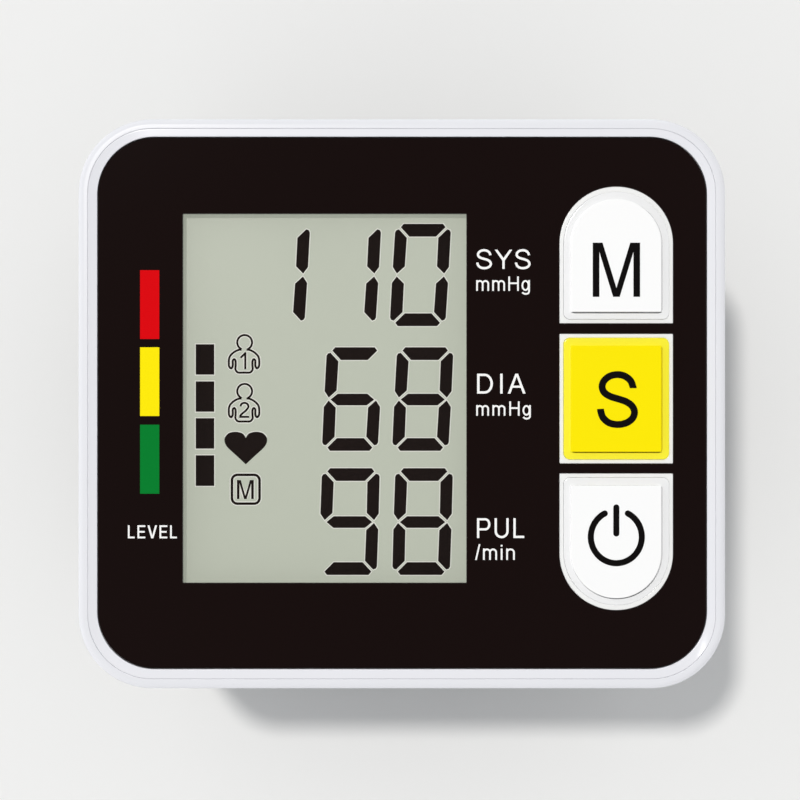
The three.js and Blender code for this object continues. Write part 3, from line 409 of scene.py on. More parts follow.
def new_group(name, inputs, *results):
    """A shader node group with named sockets; gives the tree, its inputs and its output node."""
    tree = bpy.data.node_groups.new(name, "ShaderNodeTree")
    for label, value in inputs.items():
        kind = "NodeSocketColor" if isinstance(value, tuple) else "NodeSocketFloat"
        tree.interface.new_socket(label, in_out="INPUT", socket_type=kind).default_value = value
    for label in results:
        tree.interface.new_socket(label, in_out="OUTPUT", socket_type="NodeSocket" + SOCKETS[label])
    return tree, node(tree, "NodeGroupInput").outputs, node(tree, "NodeGroupOutput")


def give(tree, made, **sources):
    """Links results to a group's output node; gives the finished group."""
    for label, source in sources.items():
        tree.links.new(source, made.inputs[label])
    return tree


def object_noise(tree, scale, detail=2.0, stretch=(1, 1, 1)):
    """Noise on Object coordinates, from 0 to 1; scale is in cells a metre."""
    place = node(tree, "ShaderNodeTexCoord").outputs["Object"]
    turn = node(tree, "ShaderNodeMapping", {"Vector": place, "Scale": stretch}).outputs[0]
    settings = {"Vector": turn, "Scale": scale, "Detail": detail}
    return node(tree, "ShaderNodeTexNoise", settings).outputs["Fac"]


def shaded(tree, given, factor):
    """A group's Colour, drawn towards Colour times Shade by a factor from 0 to 1."""
    colour, shade = given["Colour"], given["Shade"]
    product = {0: 1.0, 6: colour, 7: shade}
    dark = node(tree, "ShaderNodeMix", product, data_type="RGBA", blend_type="MULTIPLY")
    mixed = {0: factor, 6: colour, 7: dark.outputs[2]}
    return node(tree, "ShaderNodeMix", mixed, data_type="RGBA").outputs[2]


def ridge(tree, value):
    """Round ridges, one to each whole number: |sin(pi v)|."""
    return math_node(tree, "ABSOLUTE", math_node(tree, "SINE", math_node(tree, "MULTIPLY", value, math.pi)))


def painted_thread_shade(tree, height, scale):
    """Painted shade for a cloth's colour: 1 less a thread's height, broken up by fibres, so the low places
    between threads come out darker.
    """
    fibre = math_node(tree, "ADD", object_noise(tree, scale), 0.4)
    return math_node(tree, "SUBTRACT", 1.0, math_node(tree, "MULTIPLY", height, fibre))


# %% Plastic and ink groups
TINTS = {"Colour": (0.8, 0.8, 0.8, 1), "Shade": (0.8, 0.8, 0.8, 1)}
GRAIN_HEIGHT = 0.00006
skin_inputs = {**TINTS, "Roughness": 0.4, "Grain": 5000.0, "Depth": 0.1}
tree, given, made = new_group("moulded_skin", skin_inputs, "Colour", "Roughness", "Normal")
drift = object_noise(tree, 55.0, 3.0)
grain = object_noise(tree, given["Grain"], 1.0)
uneven = math_node(tree, "MULTIPLY", math_node(tree, "MULTIPLY_ADD", drift, 0.6, 0.7), given["Roughness"])
bumps = {"Strength": given["Depth"], "Distance": GRAIN_HEIGHT, "Height": grain}
relief = node(tree, "ShaderNodeBump", bumps).outputs[0]
moulded_skin = give(tree, made, Colour=shaded(tree, given, drift), Roughness=uneven, Normal=relief)

ink_inputs = {**TINTS, "Roughness": 0.35}
tree, given, made = new_group("thin_ink", ink_inputs, "Colour", "Roughness")
coverage = object_noise(tree, 3500.0, 3.0)
dry = math_node(tree, "MULTIPLY", math_node(tree, "MULTIPLY_ADD", coverage, 0.6, 0.7), given["Roughness"])
thin_ink = give(tree, made, Colour=shaded(tree, given, coverage), Roughness=dry)

# %% Cloth groups
tree, given, made = new_group("plain_weave", {**TINTS, "Count": 2.0}, "Colour", "Height")
cloth = node(tree, "ShaderNodeTexCoord").outputs["UV"]
scaling = {0: cloth, "Scale": given["Count"]}
grid = node(tree, "ShaderNodeVectorMath", scaling, operation="SCALE").outputs[0]
parts = node(tree, "ShaderNodeSeparateXYZ", {0: grid}).outputs
over = node(tree, "ShaderNodeVectorMath", {0: grid, 1: (0, 0, 0.5)}, operation="ADD").outputs[0]
check = node(tree, "ShaderNodeTexChecker", {"Vector": over, "Scale": 1.0}).outputs["Fac"]
crowns = {0: check, 2: ridge(tree, parts[0]), 3: ridge(tree, parts[1])}
thread = node(tree, "ShaderNodeMix", crowns).outputs[0]
# The weave's colour is darker where its threads lie low: painted shade.
plain_weave = give(tree, made, Colour=shaded(tree, given, painted_thread_shade(tree, thread, 2600.0)), Height=thread)

TANGLE = (0.0003, 0.0003, 0.0003)
tree, given, made = new_group("loop_pile", {**TINTS, "Count": 2600.0}, "Colour", "Height")
place = node(tree, "ShaderNodeTexCoord").outputs["Object"]
bent = node(tree, "ShaderNodeTexNoise", {"Vector": place, "Scale": 3000.0}).outputs["Color"]
push = {0: bent, 1: TANGLE, 2: place}
pushed = node(tree, "ShaderNodeVectorMath", push, operation="MULTIPLY_ADD").outputs[0]
cells = node(tree, "ShaderNodeTexVoronoi", {"Vector": pushed, "Scale": given["Count"]}).outputs["Distance"]
hairs = math_node(tree, "MULTIPLY", object_noise(tree, 6000.0, 3.0), 0.75)
loops = math_node(tree, "MULTIPLY_ADD", math_node(tree, "SUBTRACT", 1.0, cells), 0.45, hairs)
nap = math_node(tree, "MULTIPLY_ADD", object_noise(tree, 140.0, 4.0), 0.35, 0.78)
fluff = math_node(tree, "MULTIPLY", loops, nap)
# Painted shade: the pile's colour is darker where its loops lie low.
painted_pile_shade = math_node(tree, "MULTIPLY_ADD", fluff, -2.4, 1.9)
loop_pile = give(tree, made, Colour=shaded(tree, given, painted_pile_shade), Height=fluff)

tree, given, made = new_group("ribbed_tape", {**TINTS, "Count": 2.2}, "Colour", "Height")
cloth = node(tree, "ShaderNodeTexCoord").outputs["UV"]
along = node(tree, "ShaderNodeSeparateXYZ", {0: cloth}).outputs[1]
rib = ridge(tree, math_node(tree, "MULTIPLY", along, given["Count"]))
# The tape's colour is darker between its ribs: painted shade.
ribbed_tape = give(tree, made, Colour=shaded(tree, given, painted_thread_shade(tree, rib, 3000.0)), Height=rib)

# %% Metal group
metal_inputs = {**TINTS, "Roughness": 0.3}
tree, given, made = new_group("drawn_metal", metal_inputs, "Colour", "Roughness", "Height")
lines = object_noise(tree, 2500.0, 2.0, (1, 0.06, 1))
stain = object_noise(tree, 260.0, 3.0)
rough = math_node(tree, "MULTIPLY_ADD", math_node(tree, "SUBTRACT", lines, 0.5), 0.3, given["Roughness"])
drawn_metal = give(tree, made, Colour=shaded(tree, given, stain), Roughness=rough, Height=lines)
print("groups:", sorted(g.name for g in bpy.data.node_groups))

# %% Materials


def new_finish(name, group, values, shader_values, bump=0.0, depth=0.0):
    """A material: one shared effect feeds colour, roughness and normal; the rest are plain values."""
    tree, shader = bare_finish(name, shader_values)
    effect = node(tree, "ShaderNodeGroup", node_tree=group)
    for label, value in values.items():
        effect.inputs[label].default_value = (*value, 1) if isinstance(value, tuple) else value
    for label, target in (("Colour", "Base Color"), ("Roughness", "Roughness"), ("Normal", "Normal")):
        if label in effect.outputs:
            tree.links.new(effect.outputs[label], shader.inputs[target])
    if bump:
        bumps = {"Strength": bump, "Distance": depth, "Height": effect.outputs["Height"]}
        tree.links.new(node(tree, "ShaderNodeBump", bumps).outputs[0], shader.inputs["Normal"])


# Each row: colour, shade, roughness, grain a metre, depth of the grain, gloss.
PLASTICS = {
    "shell_white": ((0.785, 0.787, 0.82), (0.97, 0.975, 0.985), 0.22, 4500.0, 0.06, 0.15),
    "cover_white": ((0.8, 0.8, 0.835), (0.97, 0.975, 0.985), 0.16, 5500.0, 0.03, 0.15),
    "collar_white": ((0.905, 0.908, 0.9), (0.98, 0.98, 0.98), 0.16, 5500.0, 0.04, 0.5),
    "key_white": ((0.97, 0.97, 0.97), (0.98, 0.98, 0.98), 0.15, 6500.0, 0.05, 0.5),
    "skirt_white": ((0.88, 0.882, 0.888), (0.98, 0.98, 0.98), 0.15, 6500.0, 0.05, 0.5),
    "key_yellow": ((0.96, 0.8, 0.002), (0.985, 0.975, 0.9), 0.14, 6500.0, 0.05, 0.12),
    "skirt_yellow": ((0.95, 0.865, 0.045), (0.985, 0.98, 0.95), 0.14, 6500.0, 0.05, 0.12),
    "panel_black": ((0.0076, 0.003, 0.0026), (0.85, 0.85, 0.85), 0.035, 1500.0, 0.004, 0.3),
    "black_plastic": ((0.016, 0.016, 0.017), (0.75, 0.75, 0.75), 0.5, 3000.0, 0.25, 0.5),
    "grey_rubber": ((0.27, 0.28, 0.29), (0.85, 0.85, 0.85), 0.8, 2500.0, 0.2, 0.5),
    "hose_rubber": ((0.68, 0.69, 0.66), (0.93, 0.93, 0.92), 0.5, 2500.0, 0.1, 0.5),
    "lead_red": ((0.43, 0.015, 0.015), (0.85, 0.8, 0.8), 0.45, 3000.0, 0.1, 0.5),
    "lead_black": ((0.015, 0.015, 0.016), (0.8, 0.8, 0.8), 0.45, 3000.0, 0.1, 0.5),
    "bladder_film": ((0.62, 0.58, 0.48), (0.92, 0.92, 0.9), 0.45, 900.0, 0.2, 0.5),
    "former_sheet": ((0.77, 0.77, 0.74), (0.95, 0.95, 0.94), 0.42, 2200.0, 0.1, 0.5),
    "display_glass": ((0.215, 0.228, 0.19), (0.97, 0.972, 0.968), 0.3, 7000.0, 0.03, 0.12),
    "display_rim": ((0.315, 0.312, 0.285), (0.97, 0.972, 0.968), 0.3, 7000.0, 0.03, 0.12),
}
for label, (*values, gloss) in PLASTICS.items():
    effect_values = dict(zip(("Colour", "Shade", "Roughness", "Grain", "Depth"), values))
    new_finish(label, moulded_skin, effect_values, {"Specular IOR Level": gloss})

# Each row: colour, shade, roughness.
METALS = {
    "steel": ((0.6, 0.6, 0.61), (0.75, 0.75, 0.75), 0.3),
    "contact_metal": ((0.6, 0.45, 0.15), (0.75, 0.72, 0.7), 0.32),
}
INKS = {
    "print_white": ((0.95, 0.95, 0.94), (0.97, 0.97, 0.97), 0.05),
    "print_red": ((0.72, 0.003, 0.006), (0.93, 0.9, 0.9), 0.05),
    "print_yellow": ((0.98, 0.82, 0.004), (0.96, 0.95, 0.9), 0.05),
    "print_green": ((0.003, 0.21, 0.03), (0.9, 0.93, 0.9), 0.05),
    "print_black": ((0.006, 0.005, 0.005), (0.8, 0.8, 0.8), 0.05),
    "segment_dark": ((0.014, 0.009, 0.008), (0.85, 0.85, 0.85), 0.05),
}
for label, values in METALS.items():
    effect_values = dict(zip(("Colour", "Shade", "Roughness"), values))
    new_finish(label, drawn_metal, effect_values, {"Metallic": 1.0}, 0.15, 0.00002)
for label, values in INKS.items():
    effect_values = dict(zip(("Colour", "Shade", "Roughness"), values))
    new_finish(label, thin_ink, effect_values, {"Specular IOR Level": 0.12})

# The hose lets a little light in. The display glass and its paler rims give off a painted glow: emission
# that lifts the shade the panel's edge casts into the sunken display.
PAINTED_GLOW = 1.4
finishes["hose_rubber"].node_tree.nodes["Principled BSDF"].inputs["Subsurface Weight"].default_value = 0.15
for label in ("display_glass", "display_rim"):
    tree = finishes[label].node_tree
    shader = tree.nodes["Principled BSDF"]
    tree.links.new(shader.inputs["Base Color"].links[0].from_socket, shader.inputs["Emission Color"])
    shader.inputs["Emission Strength"].default_value = PAINTED_GLOW
print(len(finishes), "finishes so far")

# %% [markdown]
# ## Case tub
# The white case is a deep tub. Its profile runs from the inner floor up the wall to the ledge for the
# cover, over a narrow lip, round the rim and down to the rounded back. The lip's round is what catches
# the thin white light line in the photograph. Screw bosses are holes in both floors, so they are chains
# too. Only the battery opening in the left wall crosses the rings, so a boolean cuts it after the loft.

# %% Case tub
CASE_HALF = (case_high - case_low)[:2] / 2
DEPTH = (case_high - case_low)[2]
CASE_CORNER, WIDER_INSIDE = 8.6, 0.25
WALL, FLOOR, LIP = 1.8, 1.6, 1.15
FLOOR_ROUND, LIP_ROUND, RIM_ROUND, BACK_ROUND = 0.3, 0.07, 0.7, 2.0
LEDGE = 25.15
CAP_HOLD = 0.15
BOSSES = [(31.5, 27.4), (-9.9, 28.75), (-9.9, -28.75), (31.5, -27.4)]
BOSS_OUTSIDE = [(2.15, FLOOR), (2.15, 14.0), (1.95, 14.2)]
BOSS = BOSS_OUTSIDE + [(1.1, 14.2), (1.1, 1.55), (1.9, 1.55), (1.9, 0.15), (2.05, 0)]
PORT = (6.0, -2.5)
FLOOR_HOLES = [(1.65, *PORT), (0.95, PORT[0] - 9, PORT[1] - 3.5), (0.95, PORT[0] + 9, PORT[1] - 3.5)]


def lifted(shape):
    """From coordinates measured from the middle of the case's back to the object's frame."""
    points, faces = shape
    return points + np.array([CASE_X, CASE_Y, BASE]), faces


def case_outline(inset):
    """The case seen from above, drawn in by an inset; its corners turn a little wider further in."""
    x, y = CASE_HALF - inset
    wider = WIDER_INSIDE * np.clip(inset - LIP, 0, 1)
    return rounded(-x, x, -y, y, CASE_CORNER - inset + wider, steps=26)


tub_profile = np.concatenate(
    [
        quarter(WALL + FLOOR_ROUND, FLOOR + FLOOR_ROUND, FLOOR_ROUND, 270, 180),
        [(WALL, LEDGE), (LIP, LEDGE)],
        quarter(LIP - LIP_ROUND, DEPTH - LIP_ROUND, LIP_ROUND, 0, 90),
        quarter(RIM_ROUND, DEPTH - RIM_ROUND, RIM_ROUND, 90, 180),
        quarter(BACK_ROUND, BACK_ROUND, BACK_ROUND, 180, 270),
    ]
)
bosses = [turned(BOSS, (x, y, 0)) for x, y in BOSSES]
through = [turned([(r, FLOOR), (r, 0)], (x, y, 0), sides=24) for r, x, y in FLOOR_HOLES]
tub_shape = solid(chain(case_outline, held(tub_profile, CAP_HOLD)), *bosses, *through)
tub = add_piece("case_tub", lifted(tub_shape), "shell_white", stands_for="rear_housing")

# %% Battery opening
DOOR_Y, DOOR_U = (-24.4, 22.4), (2.05, 13.85)
LEFT = -CASE_HALF[0]
door_seat = drawn_in(DOOR_Y, DOOR_U, 1.75)(-0.15)
bay_mouth = drawn_in(DOOR_Y, DOOR_U, 1.1)(0.5)
for label, outline, depth in (("seat", door_seat, 1.0), ("mouth", bay_mouth, 1.9)):
    rings = [np.column_stack([np.full(len(outline), x), outline]) for x in (LEFT - 1, LEFT + depth)]
    points, faces = lifted(solid(np.stack(rings)))
    cutter_mesh = bpy.data.meshes.new(label)
    cutter_mesh.from_pydata((points * MM).tolist(), [], faces)
    turn_outwards(cutter_mesh)
    cutter = add_object(label, cutter_mesh)
    carve = tub.modifiers.new(label, "BOOLEAN")
    carve.object = cutter
    carve.solver = "EXACT"
    bpy.context.view_layer.update()
    carved = bpy.data.meshes.new_from_object(tub.evaluated_get(bpy.context.evaluated_depsgraph_get()))
    tub.modifiers.clear()
    tub.data = carved
    bpy.data.objects.remove(cutter)
smooth(tub.data)
print("case tub", len(tub.data.polygons), "faces")

# %% Battery bay
BAY_Y = (-25.15, 23.15)
BAY_RIGHT = -13.55
BAY_FLOOR, BAY_TOP, BAY_WALL = 2.55, 13.35, 1.2
left = LEFT + WALL - 0.05
outer_y = (BAY_Y[0] - BAY_WALL, BAY_Y[1] + BAY_WALL)
outer_x = BAY_RIGHT + BAY_WALL
outside = [(left, outer_y[0]), (outer_x, outer_y[0]), (outer_x, outer_y[1]), (left, outer_y[1])]
inside = [(left, BAY_Y[1]), (BAY_RIGHT, BAY_Y[1]), (BAY_RIGHT, BAY_Y[0]), (left, BAY_Y[0])]
bay_floor = rounded(left, BAY_RIGHT + 0.1, BAY_Y[0] - 0.1, BAY_Y[1] + 0.1, 0.05, steps=2)
bay_walls = upright(np.array(outside + inside), (FLOOR, BAY_TOP))
bay = together(bay_walls, upright(bay_floor, (FLOOR, BAY_FLOOR)))
add_piece("battery_bay", lifted(bay), "shell_white", stands_for="rear_housing")

# %% [markdown]
# ## Front cover
# The cover sits inside the tub's lip behind a thin dark seam. What shows of it is the white band round
# the panel, which falls a little inwards at the sides, and a white collar round each key. The cover is a
# profile on a plate with four openings, so it is one solid with holes; the collars stand in its recess.

# %% Key outlines
KEY_X = 24.85
KEY_WIDTH = 13.2
KEYS = {"memory": (17.24, 15.9, 1), "set": (0.587, 15.066, 0), "power": (-16.0, 15.9, -1)}
COLLAR_OUT, COLLAR_IN = 0.03, 0.48
ROUND_END = 0.15
SQUARE_FOOT = 0.066
SHARP, SOFT = 0.12, 0.9
WINDOW_LOW = spot(182.9, 582.8, PANEL_TOP) - (CASE_X, CASE_Y)
WINDOW_HIGH = spot(466.4, 213.9, PANEL_TOP) - (CASE_X, CASE_Y)
WINDOW_CORNER = 0.08


def key_outline(key, corner):
    """A key's outline as a function of inset; an end key has a half-round end, drawn in a little more."""
    middle, length, round_end = KEYS[key]

    def outline(inset):
        half = KEY_WIDTH / 2 - inset
        radius = max(corner - max(inset, 0) * 0.3, 0.06)
        low = half if round_end < 0 else radius
        high = half if round_end > 0 else radius
        y0, y1 = middle - length / 2 + inset, middle + length / 2 - inset
        flatter = ROUND_END * min(max(inset, 0) / COLLAR_IN, 1)
        y0, y1 = y0 + flatter * (round_end < 0), y1 - flatter * (round_end > 0)
        y0 += SQUARE_FOOT * (round_end == 0 and inset > 1)
        return rounded(KEY_X - half, KEY_X + half, y0, y1, low, high, steps=22)

    return outline


def window_outline(grow):
    """The display opening, grown by a margin."""
    (x0, y0), (x1, y1) = WINDOW_LOW - grow, WINDOW_HIGH + grow
    return rounded(x0, x1, y0, y1, WINDOW_CORNER + max(grow, 0), steps=6)


# %% Front cover
RECESS, UNDERSIDE = 26.75, 25.25
COVER_INSET, BAND = 1.3, 0.88
SEAM = LIP + 0.015
EDGE = 0.1
DISH = 0.24
FACE_OFF = np.array([0.046, 0.097, 0])
cover_edge = held(
    np.concatenate(
        [
            [(COVER_INSET + BAND, RECESS)],
            quarter(COVER_INSET + BAND - EDGE, DEPTH - EDGE, EDGE, 0, 90),
            quarter(SEAM + LIP_ROUND, DEPTH - LIP_ROUND, LIP_ROUND, 90, 180),
            [(SEAM, UNDERSIDE)],
        ]
    )
)
cover_rings = chain(case_outline, cover_edge)
inward = np.clip((cover_edge[:, 0] - SEAM) / BAND, 0, 1)
cover_rings += inward[:, None, None] * FACE_OFF
corner_run = CASE_CORNER - COVER_INSET - BAND
sideward = np.clip((np.abs(cover_rings[..., 0]) - CASE_HALF[0] + CASE_CORNER) / corner_run, 0, 1)
on_top = cover_edge[:, 1] > RECESS + 0.5
cover_rings[..., 2] -= DISH * (inward * on_top)[:, None] * sideward**2
hole_inset = COLLAR_IN + 0.01
key_holes = [chain(key_outline(key, SOFT), [(hole_inset, RECESS), (hole_inset, UNDERSIDE)]) for key in KEYS]
lens_pocket = chain(window_outline, [(1.3, RECESS), (1.3, 25.85), (0.6, 25.85), (0.6, UNDERSIDE)])
cover_shape = lifted(solid(cover_rings, *key_holes, lens_pocket))
add_piece("front_cover", cover_shape, "cover_white", "shell_white", "front_housing")

# %% Collars and posts
COLLAR_ROUND = 0.05
COLLAR_TOP = PANEL_TOP - BASE - 0.1
POST_BORE, POST_TOP = 1.1, UNDERSIDE + 0.05


def collar(key):
    """The collar round a key: up from the recess, over a rounded top and down along the key's hole."""
    foot, r = RECESS - 0.1, COLLAR_ROUND
    rise = [(COLLAR_OUT, foot), *quarter(COLLAR_OUT + r, COLLAR_TOP, r, 180, 90)]
    fall = [*quarter(COLLAR_IN - r, COLLAR_TOP, r, 90, 0), (COLLAR_IN, foot)]
    up, down = chain(key_outline(key, SHARP), rise), chain(key_outline(key, SOFT), fall)
    return hollow(np.concatenate([up, down]))


def post(radius, foot, x, y):
    """A hollow post under the cover, with a broken edge at its foot."""
    outside = [(POST_BORE, POST_TOP), (radius, POST_TOP), (radius, foot + 0.2), (radius - 0.2, foot)]
    return hollow(turned([*outside, (POST_BORE, foot)], (x, y, 0)))


collars = together(*[collar(key) for key in KEYS])
add_piece("key_collars", lifted(collars), "collar_white", "shell_white", "front_housing")
board_x, board_y, _ = centre("board_screw_1") - (CASE_X, CASE_Y, 0)
posts = [post(2.15, 14.4, x, y) for x, y in BOSSES]
posts += [post(2.0, 19.7, board_x, side * board_y) for side in (1, -1)]
add_piece("cover_posts", lifted(together(*posts)), "cover_white", "shell_white", "front_housing")

# %% [markdown]
# ## Black panel
# A thin printed plate lies in the cover's recess. It is glossy and nearly black, with a trace of brown. A
# tiny bevel breaks its edges, which keeps a light line at the rim of the plate.

# %% Black panel
PANEL_INSET = COVER_INSET + BAND + 0.1
BREAK = 0.04
panel_low, panel_high = (c[2] - BASE for c in corners("front_panel"))
hole_edge = np.array([(-BREAK, panel_high), (0, panel_high - BREAK), (0, panel_low)])
window_edge = hole_edge * (-1, 1)
panel_edge = window_edge + (PANEL_INSET, 0)
openings = [chain(key_outline(key, SHARP), hole_edge) for key in KEYS]
openings.append(chain(window_outline, window_edge))
panel_shape = lifted(solid(chain(case_outline, panel_edge) + FACE_OFF, *openings))
add_piece("face_panel", panel_shape, "panel_black", stands_for="front_panel", crease=20)

# %% [markdown]
# ## Printed marks
# Labels and the three colour bars are films of ink. Each is an outline carried up by the ink's thickness.
# The letters are drawn as outlines too, each in the box that it has on the face. Round strokes are a line
# with a width: its two sides and its ends make one outline. Tight lines are ribbons instead, a flat
# section carried from point to point.

# %% Lines and strokes


def unit(vectors):
    """Vectors scaled to a length of one."""
    return vectors / np.linalg.norm(vectors, axis=-1, keepdims=True)


def smooth_line(points, steps=8):
    """A Catmull-Rom line through points: each span is a cubic of its four neighbours."""
    p = np.asarray(points, float)
    q = np.concatenate([2 * p[:1] - p[1:2], p, 2 * p[-1:] - p[-2:-1]])
    t = np.linspace(0, 1, steps, endpoint=False)[None, :, None]
    a, b, c, d = (q[k : len(q) - 3 + k, None, :] for k in range(4))
    cubic = 2 * b + (c - a) * t + (2 * a - 5 * b + 4 * c - d) * t**2 + (3 * b - a - 3 * c + d) * t**3
    return np.concatenate([(cubic / 2).reshape(-1, p.shape[1]), p[-1:]])


def stroke(line, width, round_ends=False):
    """A line with a width as an outline: left side out, right side back, half circles at round ends."""
    line = np.asarray(line, float)
    along = unit(np.gradient(line, axis=0))
    side = np.stack([-along[:, 1], along[:, 0]], axis=1) * width / 2
    if not round_ends:
        return np.concatenate([line + side, (line - side)[::-1]])
    sweep = np.radians(np.linspace(90, -90, 11))[1:-1, None]
    far = line[-1] + width / 2 * np.cos(sweep) * along[-1] + np.sin(sweep) * side[-1]
    near = line[0] - width / 2 * np.cos(sweep) * along[0] - np.sin(sweep) * side[0]
    return np.concatenate([line + side, far, (line - side)[::-1], near])


def grown(outline, margin):
    """An outline moved outwards by a margin: each corner goes to where its two moved sides meet."""
    p = np.asarray(outline, float)
    side = unit(np.roll(p, -1, 0) - p)
    normal = np.stack([side[:, 1], -side[:, 0]], axis=1)
    before = np.roll(normal, 1, 0)
    area = np.sum(p[:, 0] * np.roll(p[:, 1], -1) - p[:, 1] * np.roll(p[:, 0], -1))
    bend = np.sum(normal * before, axis=1, keepdims=True)
    return p + np.sign(area) * margin * (normal + before) / (1 + bend)


# %% Ink films
INK = 0.02


def on_face(outline, level):
    """An outline in pixels of the photograph, laid on a level of the object."""
    outline = np.asarray(outline, float)
    return spot(outline[:, 0], outline[:, 1], level)


def block_px(x0, x1, y0, y1):
    """A plain rectangle in pixels."""
    return [(x0, y1), (x1, y1), (x1, y0), (x0, y0)]


def inked(level, outline, *holes):
    """One mark: an outline with its holes, from just inside its ground up by the ink's thickness."""
    levels = (level + INK, level - INK)
    chains = [np.stack([at_level(loop, z) for z in levels]) for loop in (outline, *holes)]
    return solid(*chains, fill=True)


def ribbon(line, width, level):
    """A film along a line in pixels: at each point a flat section with four corners, joined in a row."""
    both = stroke(line, width)
    left, right = both[: len(line)], both[len(line) :][::-1]
    section = [(left, INK), (right, INK), (right, -INK), (left, -INK)]
    return solid(np.stack([at_level(on_face(edge, level), level + rise) for edge, rise in section], axis=1))


BAR_X = (140.1, 159.3)
BARS = {"red": (270.2, 339.0), "yellow": (347.3, 416.0), "green": (424.7, 493.7)}
for label, (top, bottom) in BARS.items():
    bar_mark = inked(PANEL_TOP, on_face(block_px(*BAR_X, top, bottom), PANEL_TOP))
    add_piece(f"level_bar_{label}", bar_mark, f"print_{label}", "panel_black")

# %% Letters
S_LINE = np.array(
    [(0.963, 0.722), (0.953, 0.76), (0.883, 0.878), (0.712, 0.97), (0.503, 1), (0.277, 0.97)]
    + [(0.111, 0.881), (0.046, 0.763), (0.109, 0.644), (0.288, 0.563), (0.53, 0.511), (0.772, 0.452)]
    + [(0.94, 0.359), (1, 0.243), (0.935, 0.119), (0.75, 0.03), (0.503, 0), (0.255, 0.033)]
    + [(0.076, 0.137), (0.008, 0.265), (0, 0.313)]
)


def letter_m(x0, x1, y0, y1, stem):
    """A plain capital M in pixels: two stems and a V that reaches the foot."""
    w, h = x1 - x0, y1 - y0
    half = [(0, 0), (0, h), (1.48 * stem, h), (w / 2, 0.163 * h)]
    foot = [(w / 2 - stem / 2, 0), (stem, 0.83 * h), (stem, 0)]
    right = [(w - x, y) for x, y in half[2::-1] + foot[::-1]]
    return np.array([(x0 + x, y1 - y) for x, y in half + right + foot])


def arch(x0, x1, h, s):
    """The stroke of an arch from one stem to the next: up, over a half oval and down to the foot."""
    top = oval((x0 + x1) / 2, 0.66 * h, (x1 - x0) / 2, 0.34 * h - s / 2, 165, 0)
    return stroke(np.concatenate([top, [(x1, 0.3 * h), (x1, 0)]]), s)


def glyph(letter, w, h, s):
    """A letter as outlines with their holes, in a box w by h above its foot, with strokes s wide."""
    m = s / 2
    low, top = 0.02 * h, 0.97 * h

    def bar(x0, x1, y0, y1):
        return [[(x0, y0), (x1, y0), (x1, y1), (x0, y1)]]

    def bowl(x, y0, y1):
        middle, half = (y0 + y1) / 2, (y1 - y0) / 2
        curves = [oval(x, middle, w - x - inset, half - inset * 0.95, -90, 90) for inset in (0, s)]
        return [[(x0, c[0][1]), *c, (x0, c[-1][1])] for x0, c in zip((0, s), curves)]

    hook_top = [(w - m, h), (w - m, 0)]
    hook = np.concatenate([hook_top, oval(w / 2, -0.06 * h, w / 2 - m, 0.3 * h - m, 0, -165)])
    cup = np.concatenate([[(m, h), (m, 0.5 * h)], oval(w / 2, 0.34 * h, w / 2 - m, 0.35 * h - m, 180, 360)])
    stems = {"m": (m, w / 2, w - m), "n": (m, w - m)}.get(letter, ())
    arches = [bar(0, s, 0, h)] + [[arch(a, b, h, s)] for a, b in zip(stems, stems[1:])]
    y_left = [(0, top), (w / 2 - m, 0.43 * h), (w / 2 - m, low)]
    y_right = [(w - x, y) for x, y in y_left[::-1]]
    e_foot = [(0, 0), (w, 0), (w, s), (s, s), (s, h / 2 - m), (0.92 * w, h / 2 - m)]
    h_left = [(0, 0), (s, 0), (s, 0.475 * h)]
    h_upper = [(w, h), (w - s, h), (w - s, 0.59 * h), (s, 0.59 * h), (s, h), (0, h)]
    v_foot = [(w / 2 - 0.6 * s, 0), (w / 2 + 0.6 * s, 0)]
    a_inside = [(0.85 * w, 0), (0.5 * w, 0.86 * h), (0.15 * w, 0)]
    a_sides = [(0, 0), (0.425 * w, h), (0.575 * w, h), (w, 0), *a_inside]
    g_loops = [oval(0.47 * w, h / 2, 0.47 * w - inset, h / 2 - inset, 0, 348, 29) for inset in (0, s)]
    return {
        "S": [[stroke(smooth_line(S_LINE * (w - s, h - s) + m, 5), s)]],
        "Y": [[y_left + y_right + [(w - 1.2 * s, top), (w / 2, 0.56 * h), (1.2 * s, top)]]],
        "D": [bowl(0.48 * w, 0, h)],
        "I": [bar(0, w, 0, h)],
        "A": [[a_sides], bar(0.2 * w, 0.8 * w, 0.295 * h, 0.4 * h)],
        "P": [bowl(0.62 * w, 0.385 * h, h), bar(0, s, 0, 0.5 * h)],
        "U": [[stroke(np.concatenate([cup, [(w - m, 0.5 * h), (w - m, h)]]), s)]],
        "L": [[[(0, 0), (w, 0), (w, s), (s, s), (s, h), (0, h)]]],
        "E": [[e_foot + [(x, h - y) for x, y in e_foot[::-1]]]],
        "V": [[v_foot + [(w, h), (w - 1.15 * s, h), (w / 2, 1.6 * s), (1.15 * s, h), (0, h)]]],
        "H": [[h_left + [(w - x, y) for x, y in h_left[::-1]] + h_upper]],
        "m": arches,
        "n": arches,
        "g": [g_loops, [stroke(hook, s)]],
        "i": [bar(0, w, 0, h), bar(0, w, 1.17 * h, 1.17 * h + s)],
        "/": [[[(0, 0), (0.31 * w, 0), (w, h), (0.69 * w, h)]]],
    }[letter]


# %% Words
WHITE_SPREAD = 0.3
LAYER = 0.004
